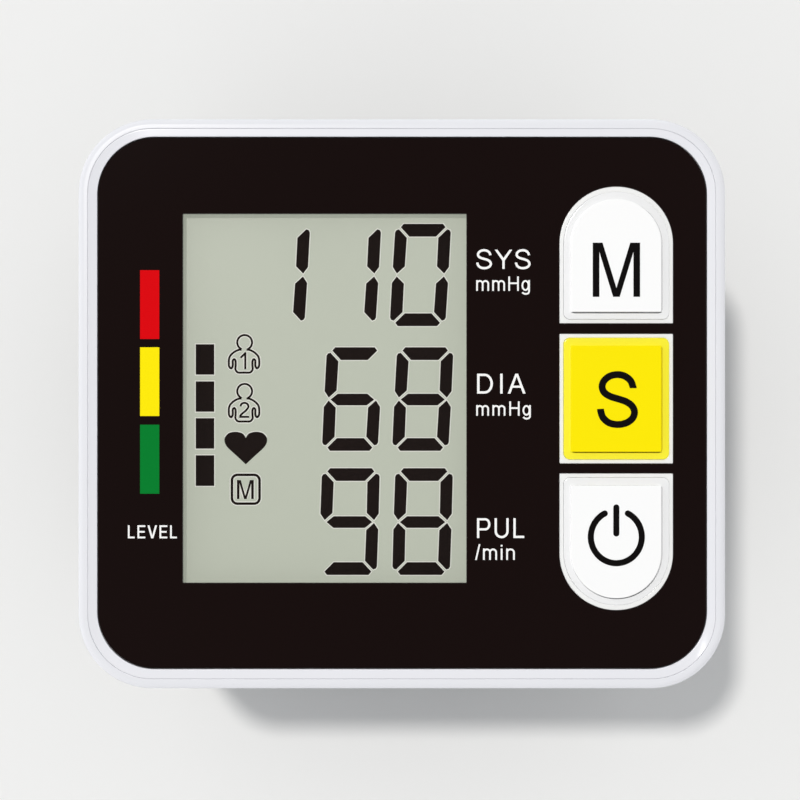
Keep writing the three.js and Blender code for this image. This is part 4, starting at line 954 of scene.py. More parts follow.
# Each row: width of a stroke, top, foot, and each letter with its left and right edge, in pixels.
WORDS = {
    "label_sys": (2.3, 248.8, 269.6, [("S", 475.9, 492.3), ("Y", 494.4, 512.6), ("S", 514.6, 530.9)]),
    "label_sys_m": (1.7, 279.8, 291.2, [("m", 475.9, 489.4), ("m", 491.9, 505.3), ("g", 521.2, 530.2)]),
    "label_sys_h": (1.7, 276.2, 291.2, [("H", 508.0, 519.1)]),
    "label_dia": (2.45, 373.4, 393.9, [("D", 476.8, 493.2), ("I", 499.9, 502.9), ("A", 507.4, 525.9)]),
    "label_dia_m": (1.7, 404.8, 416.0, [("m", 475.9, 489.3), ("m", 492.1, 505.7), ("g", 522.2, 531.1)]),
    "label_dia_h": (1.7, 401.1, 416.0, [("H", 509.0, 519.9)]),
    "label_pulse": (2.25, 517.9, 538.3, [("P", 476.7, 490.7), ("U", 494.3, 508.9), ("L", 513.1, 524.5)]),
    "label_pulse_m": (1.75, 548.2, 560.2, [("m", 482.7, 497.3), ("i", 500.4, 502.8), ("n", 505.9, 515.1)]),
    "label_pulse_bar": (1.6, 543.9, 560.2, [("/", 474.8, 480.7)]),
    "label_level": (1.7, 525.0, 538.6, [("L", 127.6, 135.0), ("E", 137.2, 145.6), ("V", 147.2, 157.4)]
                    + [("E", 159.2, 167.6), ("L", 169.8, 177.2)]),
}
for label, (stem, top, foot, letters) in WORDS.items():
    marks = []
    for letter, x0, x1 in letters:
        box = np.array([x1 - x0, foot - top]) - 2 * WHITE_SPREAD
        place = (x0 + WHITE_SPREAD, foot - WHITE_SPREAD)
        for layer, loops in enumerate(glyph(letter, *box, stem)):
            laid = [on_face(np.asarray(loop) * (1, -1) + place, PANEL_TOP) for loop in loops]
            marks.append(inked(PANEL_TOP - LAYER * layer, *laid))
    add_piece(label, together(*marks), "print_white", "panel_black")

# %% [markdown]
# ## Display
# Behind the window lies a grey-green liquid crystal cell: a back glass and a smaller front glass. The
# lens over it is clear and lets light through in a straight line, so it is made with alpha and keeps its
# gloss. The panel's edge hardly darkens the display in the photograph, so the cell is given a painted
# glow, an emission that lifts the shade of the panel's edge. A digit is seven segments with mitred ends,
# leaned a little to the right. Each lies on the glass as a thin dark film with a paler rim, where the
# crystal stays clear.

# %% Lens
lens_low, lens_high = (c[2] - BASE for c in corners("display_window"))
lens_profile = [(1.05, lens_high), (1.2, lens_high - 0.15), (1.2, lens_low + 0.15), (1.05, lens_low)]
LENS_VALUES = {"Base Color": (0.06, 0.063, 0.058, 1), "Roughness": 0.04, "IOR": 1.49}
tree, shader = bare_finish("lens_clear", LENS_VALUES)
facing = node(tree, "ShaderNodeLayerWeight", {"Blend": 0.5}).outputs["Facing"]
glancing = math_node(tree, "POWER", facing, 4.0)
clear = node(tree, "ShaderNodeMapRange", {"Value": glancing, "To Min": 0.015, "To Max": 0.5}).outputs[0]
tree.links.new(clear, shader.inputs["Alpha"])
lens_shape = lifted(solid(chain(window_outline, lens_profile)))
add_piece("window_lens", lens_shape, "lens_clear", stands_for="display_window")

# %% Front glass
GLASS_GAP = 0.15
CELL_TOP = corners("lcd_cell")[1][2] - BASE
GLASS_TOP = lens_low + BASE - GLASS_GAP
glass_profile = [(0.3, lens_low - GLASS_GAP), (0.45, lens_low - 2 * GLASS_GAP), (0.45, CELL_TOP - 0.01)]
add_piece("display_front_glass", lifted(solid(chain(window_outline, glass_profile))), "display_glass")
print("display image at", round(GLASS_TOP, 2))

# %% Dark films
DARK_SPREAD = 0.25
RIM = 1.15
RIM_LEVEL = GLASS_TOP - 0.012
rims = []


def dark(outline, *holes):
    """A dark film inside an outline in pixels; its paler rim goes to the list of rims."""
    made = []
    for margin, level in ((DARK_SPREAD, GLASS_TOP), (RIM, RIM_LEVEL)):
        loops = [grown(outline, margin)] + [grown(hole, -margin) for hole in holes]
        made.append(inked(level, *[on_face(loop, level) for loop in loops]))
    rims.append(made[1])
    return made[0]


def dark_line(line, width):
    """A dark ribbon with its paler rim."""
    rims.append(ribbon(line, width + 2 * (RIM - DARK_SPREAD), RIM_LEVEL))
    return ribbon(line, width, GLASS_TOP)


# %% Seven segments
LIT = {"0": "abcdef", "1": "bc", "6": "acdefg", "8": "abcdefg", "9": "abcdfg"}
# Each row of figures: its foot, its height and its lean, in pixels; then each figure's left edge and width.
ROWS = [
    (326.1, 102.2, 0.058, [("1", 249.0, 55.1), ("1", 320.1, 55.1), ("0", 389.9, 55.1)]),
    (450.8, 103.5, 0.05, [("6", 322.1, 55.3), ("8", 392.3, 55.8)]),
    (574.9, 106.7, 0.03, [("9", 319.1, 57.3), ("8", 392.5, 57.0)]),
]


def segments(w, tall):
    """The seven segments of a digit of a given width and height, in pixels, before it leans: three are
    drawn, and the others mirror them."""
    m = tall / 2
    end = [(14.3, tall - 12.5), (5.5, tall - 3.3), (8.0, tall - 0.2)]
    cap = np.array(end + [(w - x, y) for x, y in end[::-1]])
    upper = [(-0.1, tall - 8.6), (1.1, tall - 6.4), (3.4, tall - 5.7), (11.6, tall - 14.1)]
    bar = np.array(upper + [(11.3, m + 8.7), (4.0, m + 1.8), (-0.3, m + 8.0)])
    tip = [(13.0, m - 6.1), (6.2, m - 0.5), (12.9, m + 5.1)]
    middle = np.array(tip + [(w - x, y) for x, y in tip[::-1]])
    across, down = np.array([-1, 1]), np.array([1, -1])
    wide, high = np.array([w, 0]), np.array([0, tall])
    return {
        "a": cap,
        "d": cap * down + high,
        "f": bar,
        "b": bar * across + wide,
        "e": bar * down + high,
        "c": bar * across * down + wide + high,
        "g": middle,
    }


films = []
for foot, tall, lean, figures in ROWS:
    for figure, x, wide in figures:
        shapes = segments(wide, tall)
        for lit in LIT[figure]:
            across, up = shapes[lit].T
            films.append(dark(np.column_stack([x + across + lean * up, foot - up])))
add_piece("display_digits", together(*films), "segment_dark", "display_glass")
print("display digits:", len(films), "lit segments")

# %% Display signs
RUNGS = [(344.5, 374.4), (381.6, 411.5), (418.4, 448.4), (455.5, 485.7)]
signs = [dark(block_px(196, 214, *rung)) for rung in RUNGS]

LINE_PX = 2.1
SHOULDER = [(2.5, 15.9), (5.4, 16.1), (9.65, 18.1), (12.7, 20.7), (14.4, 23.1), (15.15, 26.2)]
HAND = [(15.15, 31.4), (14.4, 33.4), (12.95, 34.6), (11.65, 33.1), (11.25, 30.8), (11.35, 27.4)]
ARMPIT = [(10.85, 26.05), (9.8, 25.4)]
TRUNK = [(8.75, 26.35), (8.35, 28.3), (8.4, 32.3), (8.65, 35.1), (7.85, 37.1), (5.65, 38.75), (0, 38.8)]
half_body = smooth_line(SHOULDER + HAND + ARMPIT + TRUNK, 4)
body = np.concatenate([half_body, (half_body * (-1, 1))[-2::-1]])
head = arc(0.6, 8.65, 7.4, 66, -246, 30)
ONE = [np.array([(-3.5, 24.0), (1.8, 18.9)]), np.array([(1.25, 18.6), (1.25, 35.5)])]
TWO_TOP = [(-3.65, 23.7), (-2.6, 21.4), (0.15, 20.25), (3.05, 21.1), (4.35, 23.4)]
TWO_DOWN = [(3.8, 25.5), (1.4, 28.3), (-2.3, 31.3), (-4.1, 33.8)]
TWO = [smooth_line(TWO_TOP + TWO_DOWN, 4), np.array([(-4.7, 34.2), (5.05, 34.2)])]
for top, figure in ((333.8, ONE), (382.65, TWO)):
    signs += [dark_line(line + (244.05, top), LINE_PX) for line in (body, head, *figure)]

HEART_TOP = [(0, 6.5), (3.2, 1.8), (10.5, 0), (17.6, 1.8), (21.1, 7.5)]
half_heart = smooth_line(HEART_TOP + [(18.6, 14.5), (9.0, 23.6), (0, 32.0)], 6)
heart = np.concatenate([half_heart, (half_heart * (-1, 1))[-2:0:-1]])
signs.append(dark(heart + (245.8, 432.0)))
frame_out = rounded(230.9, 260.6, 473.8, 504.7, 6.5, steps=6)
frame_in = rounded(233.0, 258.5, 475.9, 502.6, 4.4, steps=6)
signs.append(dark(frame_out, frame_in))
M_LINE = np.array([(238.1, 498.8), (238.1, 480.2), (245.3, 498.0), (252.5, 480.2), (252.5, 498.8)])
signs.append(inked(GLASS_TOP, on_face(letter_m(236.9, 253.8, 480.0, 499.0, 2.6), GLASS_TOP)))
rims += [ribbon(M_LINE[k : k + 2], 4.4, RIM_LEVEL) for k in range(4)]
add_piece("display_signs", together(*signs), "segment_dark", "display_glass")
add_piece("display_rims", together(*rims), "display_rim", "display_glass")

# %% [markdown]
# ## Keys
# Each key is a hollow cap: a flange that stops it under the cover, a low shoulder and a raised face. The
# face sits in a pocket of the shoulder that is a hair wider on the right and below. That leaves a fine
# groove there, which shows as the thin dark line of the photograph. The round ends are the same outline
# with one corner radius as wide as half the key. Face and shoulder have their own tints, so they are two
# pieces on one body.

# %% Key caps
KEY_TOP = corners("button_set")[1][2] - BASE
STEM_LOW = corners("button_set")[0][2] - BASE
FLANGE_TOP, FLANGE_LOW = 25.0, 24.0
SEAT = 0.496
SHOULDER_TOP = KEY_TOP - 0.65
STEM_TOP = KEY_TOP - 1.1
FACE_INSET, FACE_SHIFT, FACE_CORNER = 1.365, (-0.08, -0.03, 0), 0.4
POCKET_INSET, POCKET_SHIFT = 1.28, (0.03, -0.105, 0)
KEY_CREASE = 28
KEY_COLOUR = {"memory": "white", "set": "yellow", "power": "white"}
raised_face = np.concatenate(
    [
        [(FACE_INSET + 0.2, KEY_TOP)],
        quarter(FACE_INSET + 0.03, KEY_TOP - 0.03, 0.03, 90, 180),
        [(FACE_INSET, SHOULDER_TOP - 0.35)],
    ]
)
skirt = held(
    [
        (POCKET_INSET + 0.3, SHOULDER_TOP - 0.3),
        (POCKET_INSET, SHOULDER_TOP - 0.3),
        (POCKET_INSET, SHOULDER_TOP),
        (SEAT + 0.06, SHOULDER_TOP),
        (SEAT + 0.02, SHOULDER_TOP - 0.015),
        (SEAT, SHOULDER_TOP - 0.06),
        (SEAT, FLANGE_TOP),
        (SEAT - 0.8, FLANGE_TOP),
        (SEAT - 0.8, FLANGE_LOW),
        (SEAT + 1.2, FLANGE_LOW),
        (SEAT + 1.2, KEY_TOP - 1.2),
    ]
)
stem_profile = [(0, STEM_LOW), (1.3, STEM_LOW), (1.4, STEM_LOW + 0.1), (1.4, STEM_TOP), (0, STEM_TOP)]
for key, (middle, *_) in KEYS.items():
    stem = solid(turned(stem_profile, (KEY_X, middle, 0), sides=24))
    face = solid(chain(key_outline(key, FACE_CORNER), raised_face) + FACE_SHIFT)
    rings = chain(key_outline(key, SOFT), skirt)
    rings[skirt[:, 0] > POCKET_INSET - 0.01] += POCKET_SHIFT
    shoulder = together(solid(rings), stem)
    slot, skirt_finish = f"key_{KEY_COLOUR[key]}", f"skirt_{KEY_COLOUR[key]}"
    on_key = {"slot": slot, "stands_for": f"button_{key}", "body": f"{key}_key", "crease": KEY_CREASE}
    add_piece(f"key_{key}_face", lifted(face), slot, **on_key)
    add_piece(f"key_{key}_shoulder", lifted(shoulder), skirt_finish, **on_key)
print("key faces at", round(KEY_TOP + BASE, 2))

# %% Key legends
LEGEND = KEY_TOP + BASE
S_LEFT, S_RIGHT, S_TOP, S_FOOT = 600.5, 634.5, 374.6, 424.5
s_line = S_LINE * (S_RIGHT - S_LEFT, S_TOP - S_FOOT) + (S_LEFT, S_FOOT)
power_ring = oval(616.3, 536.9, 25.5, 26.3, -63.2, 243.2, 60)
power_bar = np.array([(616.3, 507.4), (616.3, 533.5)])
legends = {
    "memory": [letter_m(592.75, 640.05, 242.7, 296.8, 6.6)],
    "set": [stroke(smooth_line(s_line, 5), 6.9)],
    "power": [stroke(power_ring, 6.1, True), stroke(power_bar, 6.0, True)],
}
for key, outlines in legends.items():
    marks = together(*[inked(LEGEND, on_face(outline, LEGEND)) for outline in outlines])
    add_piece(f"legend_{key}", marks, "print_black", f"key_{KEY_COLOUR[key]}", body=f"{key}_key")

# %% [markdown]
# ## Battery door
# The door fills the seat in the left wall. It is a plate with a softly rounded outer edge, four ribs to
# push it with a thumb, and tongues that hook behind the wall. The ribs are outlines that draw in as they
# rise, which rounds them over.

# %% Battery door
DOOR_FACE = LEFT - 0.35
DOOR_BACK = LEFT + 0.9
RIBS_Y = (-3.4, -1.8, -0.2, 1.4)
RIB_HALF, RIB_REACH = 0.4, 3
TONGUES = [(y, u) for y in (-13.0, 11.0) for u in (DOOR_U[0] + 0.6, DOOR_U[1] - 1.5)]
door_middle = sum(DOOR_U) / 2


def on_wall(outline, profile):
    """A solid from rings drawn as (y, u, x), turned to stand on the left wall."""
    return solid(chain(outline, profile)[..., [2, 0, 1]])


door_edge = [*quarter(0.3, DOOR_FACE + 0.3, 0.3, 270, 180), (0, DOOR_BACK)]
rib_rise = [(0, DOOR_FACE + 0.2), *oval(0.36, DOOR_FACE + 0.1, -0.36, -0.45, 0, 90, ROUND_STEPS)]
tongue_edge = [(0, DOOR_BACK - 0.4), (0, DOOR_BACK + 2.8), (0.2, DOOR_BACK + 3)]
door_shapes = [on_wall(drawn_in(DOOR_Y, DOOR_U, 1.6, 0.9), held(door_edge, 0.2))]
for y in RIBS_Y:
    rib_u = (door_middle - RIB_REACH, door_middle + RIB_REACH)
    rib_outline = drawn_in((y - RIB_HALF, y + RIB_HALF), rib_u, RIB_HALF * 0.98, 0.98, steps=6)
    door_shapes.append(on_wall(rib_outline, rib_rise))
for y, u in TONGUES:
    door_shapes.append(on_wall(drawn_in((y - 3, y + 3), (u, u + 0.9), 0.12, steps=3), tongue_edge))
door_shape = lifted(together(*door_shapes))
add_piece("door_panel", door_shape, "shell_white", stands_for="battery_door", body="door")

# %% [markdown]
# ## Screws
# Pan heads with a cross recess hold the case, the board and the cuff plate. A head is a height over a
# disc: a low dome, minus a cross where either axis is close to zero. The shank carries a thread as a
# radius that waves along its length.

# %% Screws
THREAD_PITCH = 0.7
LARGE_HEAD = 1.6


def screw(node_name, flip=False):
    """One screw in its CAD node's box: head height d(r) less the cross, then a threaded shank."""
    low, high = corners(node_name)
    middle = centre(node_name)
    head = (high - low)[0] / 2
    length = high[2] - low[2]
    shank, tall = (head * 0.543, 1.3) if head > LARGE_HEAD else (head * 0.533, 1.2)
    r = np.linspace(0, 1, 22)[:, None]
    a = circle(64)[None, :]
    x, y = head * r * np.cos(a), head * r * np.sin(a)
    near, far = np.minimum(abs(x), abs(y)), np.maximum(abs(x), abs(y))
    cross = np.clip((0.27 - near) / 0.1, 0, 1) * np.clip((head * 0.56 - far) / 0.2, 0, 1)
    dome = 0.3 * tall * r**3.2 + tall * 0.5 * cross
    top = np.stack([x, y, dome + 0 * a], axis=-1)
    t = np.linspace(0, 1, 70)[:, None]
    thread = 0.94 + 0.06 * np.cos(2 * np.pi * t * (length - tall) / THREAD_PITCH)
    wave = shank * thread * np.clip((1.02 - t) * 9, 0.05, 1)
    side = np.stack([wave * np.cos(a), wave * np.sin(a), tall + t * (length - tall) + 0 * a], axis=-1)
    edge = at_level(np.stack([head * np.cos(a[0]), head * np.sin(a[0])], axis=-1), tall)[None]
    points = np.concatenate([top, edge, side])
    if flip:
        points = points * np.array([1, -1, -1]) + [0, 0, length]
    return solid(points + np.array([middle[0], middle[1], low[2]]))


upward = [f"case_screw_{i}" for i in range(1, 5)] + ["board_screw_1", "board_screw_2"]
for label in upward + ["cuff_plate_screw_1", "cuff_plate_screw_2"]:
    add_piece(f"{label}_cross", screw(label, label not in upward), "steel", stands_for=label)

# %% [markdown]
# ## Cuff line
# Across the wrist the cuff follows one line of straights and round turns: from its short end up over the
# top, down the far side, along the table and up to the fold of the tail. Every layer is that line moved
# outwards along its normals, so the line and its normals are kept as arrays, spaced evenly along the
# middle of the cuff.

# %% Cuff line
WRIST_ROUND = 15.0
HIGH, LOW = 28.7, 20.7
TURN_Y = 8.5
TAIL_SHIFT = 3.4
CUFF_THICK = 5.0
PAD_HALF = 31.9
LEFTWARD = np.array([[-1.0, 0.0]])


def turn(y, z, radius, start, end):
    """A round turn: points c + r n and the outward normals n, as (y, z)."""
    normal = arc(0, 0, 1, start, end, 24)
    return np.array([y, z]) + radius * normal, normal


def run_along(line):
    """How far along a line each of its points lies."""
    return np.concatenate([[0], np.cumsum(np.linalg.norm(np.diff(line, axis=0), axis=1))])


def sampled(at, run, values):
    """Pairs of values along a run, read off at other places of it."""
    return np.stack([np.interp(at, run, values[:, k]) for k in (0, 1)], axis=-1)


def even_line(parts, middle, count):
    """Joins turns and end points into one line, resampled to equal steps at an offset of middle."""
    line = np.concatenate([p for p, _ in parts])
    normal = np.concatenate([n for _, n in parts])
    run = run_along(line + middle * normal)
    at = np.linspace(0, run[-1], count)
    return sampled(at, run, line), unit(sampled(at, run, normal)), at


def on_line(stations, x, out):
    """Points at a station of a line: x across the cuff, out along the normal to line + out * normal."""
    line, normal, _ = stations
    x, out = np.broadcast_arrays(np.asarray(x, float), np.asarray(out, float))
    flat = line[:, None, :] + out[..., None] * normal[:, None, :]
    return np.concatenate([(CASE_X + x)[..., None] + 0 * flat[..., :1], flat], axis=-1)


short_end = (np.array([[-TURN_Y - WRIST_ROUND, LOW + 1.5]]), LEFTWARD)
loop_parts = [
    short_end,
    turn(-TURN_Y, HIGH, WRIST_ROUND, 180, 90),
    turn(TURN_Y, HIGH, WRIST_ROUND, 90, 0),
    turn(TURN_Y, LOW, WRIST_ROUND, 0, -90),
    turn(-TURN_Y - TAIL_SHIFT, LOW, WRIST_ROUND, -90, -180),
]
fold_foot = (np.array([[-TURN_Y - WRIST_ROUND - TAIL_SHIFT, LOW - 0.2]]), LEFTWARD)
tail_parts = [fold_foot, turn(-TURN_Y, HIGH, WRIST_ROUND + TAIL_SHIFT, 180, 142)]
loop = even_line(loop_parts, CUFF_THICK / 2, 121)
print("cuff line", round(loop[2][-1], 1), "mm along its middle")

# %% [markdown]
# ## Padded layers
# The outer pile and the lining are fabric with foam behind it, sewn flat at the edges and soft between
# the seams. Cloth simulation makes that: the pad is blown up by a little pressure while its seams and its
# back stay pinned. The sheet is only a millimetre thick, so it is simulated at twenty times its size,
# where the solver is at ease, and scaled back.

# %% Pad shape
ACROSS = 27
share = np.linspace(-1, 1, ACROSS)


def to_ends(stations):
    """How far each station is from the nearer end of its line."""
    run = stations[2]
    return np.minimum(run, run[-1] - run)


def pad_rings(stations, half, low, high):
    """Rings of a thin pad: out along its upper face and back along its lower one, thinned at all edges."""
    half = np.broadcast_to(half, len(stations[2]))[:, None]
    thin = 0.5 * np.clip((np.abs(share) - 0.93) / 0.07, 0, 1) ** 2
    thin = thin[None, :] + 0.35 * np.clip(1 - to_ends(stations)[:, None] / 1.2, 0, 1) ** 2
    middle, depth = (low + high) / 2, (high - low) / 2
    upper = on_line(stations, half * share, middle + depth * (1 - thin))
    lower = on_line(stations, half * share, middle - depth * (1 - thin))
    return np.concatenate([upper, lower[:, ::-1]], axis=1)


def pad_map(stations, half):
    """The cloth map of a pad in millimetres: across the cuff, and along it."""
    u = np.broadcast_to(half, len(stations[2]))[:, None] * share
    u = np.concatenate([u, u[:, ::-1]], axis=1)
    return np.stack([u, np.broadcast_to(stations[2][:, None], u.shape)], axis=-1).reshape(-1, 2)


def upper_of(stations):
    """Which points of a pad lie on its upper face."""
    return np.tile(np.arange(2 * ACROSS) < ACROSS, len(stations[2]))


def each_point(values):
    """A value of each station, given to every point of its ring."""
    return np.repeat(values, 2 * ACROSS, axis=0)


def off_middle(points):
    """How far points lie to either side of the cuff's middle."""
    return np.abs(points[:, 0] - CASE_X)


# %% Pad simulation
SIM_SCALE = 20.0
SIM_FRAMES = 20
STITCH_PITCH = 2.7


def blown(shape, pinned, pressure, most):
    """The pad as cloth under pressure, with pinned points held; a move levels off at most millimetres."""
    points, faces = shape
    mesh = bpy.data.meshes.new("pad")
    mesh.from_pydata((points * MM * SIM_SCALE).tolist(), [], faces)
    turn_outwards(mesh)
    pad = add_object("pad", mesh)
    seams = pad.vertex_groups.new(name="seams")
    seams.add(np.flatnonzero(pinned).tolist(), 1.0, "REPLACE")
    sim = pad.modifiers.new("pad", "CLOTH")
    sim.settings.vertex_group_mass = "seams"
    sim.settings.use_pressure = True
    sim.settings.uniform_pressure_force = pressure
    sim.settings.effector_weights.gravity = 0
    sim.settings.quality = 6
    sim.collision_settings.use_collision = False
    sim.point_cache.frame_start = 1
    sim.point_cache.frame_end = SIM_FRAMES
    for step in range(1, SIM_FRAMES + 1):
        bpy.context.scene.frame_set(step)
    evaluated = pad.evaluated_get(bpy.context.evaluated_depsgraph_get())
    swollen = np.zeros(len(points) * 3)
    evaluated.data.vertices.foreach_get("co", swollen)
    bpy.data.objects.remove(pad)
    bpy.context.scene.frame_set(1)
    shift = swollen.reshape(-1, 3) / MM / SIM_SCALE - points
    length = np.linalg.norm(shift, axis=1, keepdims=True)
    shift *= most * np.tanh(length / most) / np.maximum(length, 1e-9)
    print("pad swelled by", round(float(length.max()), 2), "mm, kept to", round(float(np.max(most)), 2))
    return points + shift, faces


def puckered(shape, stations, gap):
    """Upper points sink in waves along a seam: 0.3 e^(-gap / 4) (1 + cos) / 2, plus a faint wide wave."""
    points, faces = shape
    run = each_point(stations[2])
    outward = each_point(np.column_stack([0 * stations[2], stations[1]]))
    wave = 0.5 + 0.5 * np.cos(2 * np.pi * run / (3 * STITCH_PITCH) + 1.5 * np.sin(0.13 * run))
    sink = 0.3 * np.exp(-np.maximum(gap, 0) / 4) * wave
    sink += 0.09 * (1 + np.sin(0.21 * points[:, 0] + 0.12 * run) * np.sin(0.24 * run + 0.5))
    return points - outward * (sink * upper_of(stations))[:, None], faces


# %% Cuff cloths
# Each row: group, colour, shade, threads, roughness, sheen, gloss, strength and depth of the bump in mm.
CLOTHS = {
    "cuff_pile": (loop_pile, (0.075, 0.082, 0.098), (0.25, 0.25, 0.27), 2700.0, 0.95, 0.5, 0.1, 0.8, 0.18),
    "lining_weave": (plain_weave, (0.15, 0.165, 0.19), (0.35, 0.35, 0.36), 1.9, 0.8, 0.2, 0.25, 0.7, 0.25),
    "edge_tape": (ribbed_tape, (0.03, 0.032, 0.038), (0.45, 0.45, 0.45), 2.6, 0.75, 0.25, 0.25, 0.35, 0.12),
    "sewing_thread": (ribbed_tape, (0.11, 0.115, 0.125), (0.6, 0.6, 0.6), 6.0, 0.6, 0.2, 0.5, 0.3, 0.1),
    "hook_weave": (plain_weave, (0.022, 0.023, 0.026), (0.4, 0.4, 0.4), 2.4, 0.7, 0.0, 0.5, 0.5, 0.2),
}
for label, (group, colour, shade, count, rough, sheen, gloss, bump, depth) in CLOTHS.items():
    effect_values = {"Colour": colour, "Shade": shade, "Count": count}
    shader_values = {"Roughness": rough, "Sheen Weight": sheen, "Specular IOR Level": gloss}
    new_finish(label, group, effect_values, shader_values, bump, depth * MM)
print(len(finishes), "finishes so far")

# %% Outer pile
END_SEWN = 2.5
cuff_map = pad_map(loop, PAD_HALF)
upper_face = upper_of(loop)
outer_rings = pad_rings(loop, PAD_HALF, 3.62, 4.9)
flat = outer_rings.reshape(-1, 3)
under_case = (flat[:, 2] > 47.5) & (np.abs(flat[:, 1]) < 11)
sewn = (off_middle(flat) > 29.8) | ~upper_face | under_case | each_point(to_ends(loop) < END_SEWN)
back = np.clip((flat[:, 1] - 4) / 8, 0, 1) * np.clip((flat[:, 2] - 4) / 6, 0, 1)
pile_pad = blown(solid(outer_rings), sewn, 9.0, (0.6 + back)[:, None])
pile_pad = puckered(pile_pad, loop, PAD_HALF - 2 - off_middle(flat))
pile = add_piece("cuff_pile_band", pile_pad, "cuff_pile", "cuff_fabric", "cuff_outer", cloth_map=cuff_map)

# %% Lining
SEAM_X = 27.5
lining_rings = pad_rings(loop, PAD_HALF, 0.12, 0.88)
x_off = off_middle(lining_rings.reshape(-1, 3))
cross_sewn = (to_ends(loop) < END_SEWN) | (np.abs(to_ends(loop) - 8) < 0.7)
sewn = upper_face | (x_off > 30.2) | (np.abs(x_off - SEAM_X) < 1.3) | each_point(cross_sewn)
lining_pad = blown(solid(lining_rings), sewn, 12.0, 0.9)
lining = add_piece(
    "cuff_lining_pad", lining_pad, "lining_weave", "lining_fabric", "cuff_lining", cloth_map=cuff_map
)

# %% Bladder and former
inner_parts = [
    (short_end[0] + (0, 3), LEFTWARD),
    *loop_parts[1:4],
    (np.array([[TURN_Y - 16, LOW - WRIST_ROUND]]), np.array([[0.0, -1.0]])),
]
inner = even_line(inner_parts, 2, 91)
bladder_shape = solid(pad_rings(inner, 28.0, 1.15, 2.45))
bladder = add_piece("air_bladder", bladder_shape, "bladder_film", stands_for="cuff_bladder")
former_shape = solid(pad_rings(inner, 30.0, 2.72, 3.38))
add_piece("curl_sheet", former_shape, "former_sheet", stands_for="cuff_former")

# %% [markdown]
# ## Edge tape, stitches and tail
# A folded tape binds both long edges, so its profile is a U wrapped round the edge. A row of stitches
# pulls the tape in a little, which shows as a dimple at each stitch. A stitch is a short arch of thread
# whose ends dive into the cloth; one small mesh is repeated along the seam by adding arrays.

# %% Edge tapes
STITCH_X = 31.1
TAPE_ROUND, TAPE_THICK = 2.5, 0.58
TAPE_X, TAPE_LOW, TAPE_HIGH = 31.2, 1.8, 3.2
tape_line = even_line(loop_parts, CUFF_THICK / 2, 241)


def tape_profile():
    """The U of the tape as (x, out): outer skin round the edge, then back along the inner skin."""
    bore = TAPE_ROUND - TAPE_THICK
    return np.concatenate(
        [
            [(29.7, -0.3), (29.8, -0.58), (30.1, -0.7), (30.6, -0.7)],
            arc(TAPE_X, TAPE_LOW, TAPE_ROUND, -90, 0, 8),
            arc(TAPE_X, TAPE_HIGH, TAPE_ROUND, 0, 90, 8),
            [(30.6, 5.7), (30.1, 5.7), (29.8, 5.58), (29.7, 5.3), (29.75, 5.12)],
            arc(TAPE_X, TAPE_HIGH, bore, 90, 0, 5),
            arc(TAPE_X, TAPE_LOW, bore, 0, -90, 5),
            [(29.75, -0.12)],
        ]
    )


def tape(side):
    """The tape along one edge, with a dip at each stitch that fades across the tape and along it."""
    profile = tape_profile()
    x, out = profile[None, :, 0], profile[None, :, 1]
    phase = 0.5 + 0.5 * np.cos(2 * np.pi * tape_line[2][:, None] / STITCH_PITCH)
    dip = 0.16 * np.exp(-(((x - STITCH_X) / 0.5) ** 2)) * phase
    outside = (out > 5.3) * 1.0 - (out < -0.3) * 1.0
    rings = on_line(tape_line, side * x, out - outside * dip)
    around = run_along(profile)[None, :]
    cloth = np.stack(np.broadcast_arrays(around, tape_line[2][:, None]), axis=-1).reshape(-1, 2)
    return solid(rings), cloth


def end_tape(outline, low, high):
    """A tape over the cut end of the layers: its outline from above, with soft edges at both faces."""
    edge = [(-0.18, low), (0, low + 0.16), (0, high - 0.16), (-0.18, high)]
    rings = [at_level(grown(outline, margin), z) for margin, z in edge]
    return solid(np.stack(rings) + [CASE_X, 0, 0])


line_y = -TURN_Y - WRIST_ROUND
edge_low = arc(TAPE_X, -TAPE_HIGH, TAPE_ROUND, -90, 0, 8)
edge_high = arc(TAPE_X, -TAPE_LOW, TAPE_ROUND, 0, 90, 8)
edge_round = np.concatenate([edge_low, edge_high])
short_plan = np.concatenate([edge_round, edge_round[::-1] * (-1, 1)])
step = np.array([(29.3, -3.2), (29.3, -5.5), (29.5, -5.7)])
fold_plan = np.concatenate([short_plan, step[::-1] * (-1, 1), step])
end_plans = (("fold", fold_plan, line_y - TAIL_SHIFT, LOW - 0.1), ("short", short_plan, line_y, LOW + 1.08))
for label, plan, y, z in end_plans:
    shape = end_tape(plan + (0, y), z, z + 0.5)
    add_piece(f"end_tape_{label}", shape, "edge_tape", "binding_tape", cloth_map=shape[0][:, [1, 0]])
for label, side in (("left", -1), ("right", 1)):
    shape, cloth = tape(side)
    binding = f"cuff_binding_{label}"
    add_piece(f"edge_tape_{label}", shape, "edge_tape", "binding_tape", binding, cloth_map=cloth)

# %% Stitches
STITCH, THREAD = 1.9, 0.17
STITCH_CREASE = 60
FROM_END = 2.2


def stitches(places, along, outward):
    """Arches of thread: a tube over t from -1 to 1 that rises as 1 - t^2 and thins at its ends."""
    t = np.linspace(-1, 1, 7)[:, None]
    a = circle(6)[None, :]
    reach = STITCH / 2 * t + 0 * a
    lift = 0.14 * (1 - t**2) - 0.06 + THREAD * np.sqrt(1 - 0.8 * t**2) * np.sin(a)
    across = THREAD * np.sqrt(1 - 0.8 * t**2) * np.cos(a)
    axes = ((reach, along), (lift, outward), (across, np.cross(along, outward)))
    moves = sum(local.reshape(1, -1, 1) * axis[:, None, :] for local, axis in axes)
    return repeated(places[:, None, :] + moves, 7, 6)


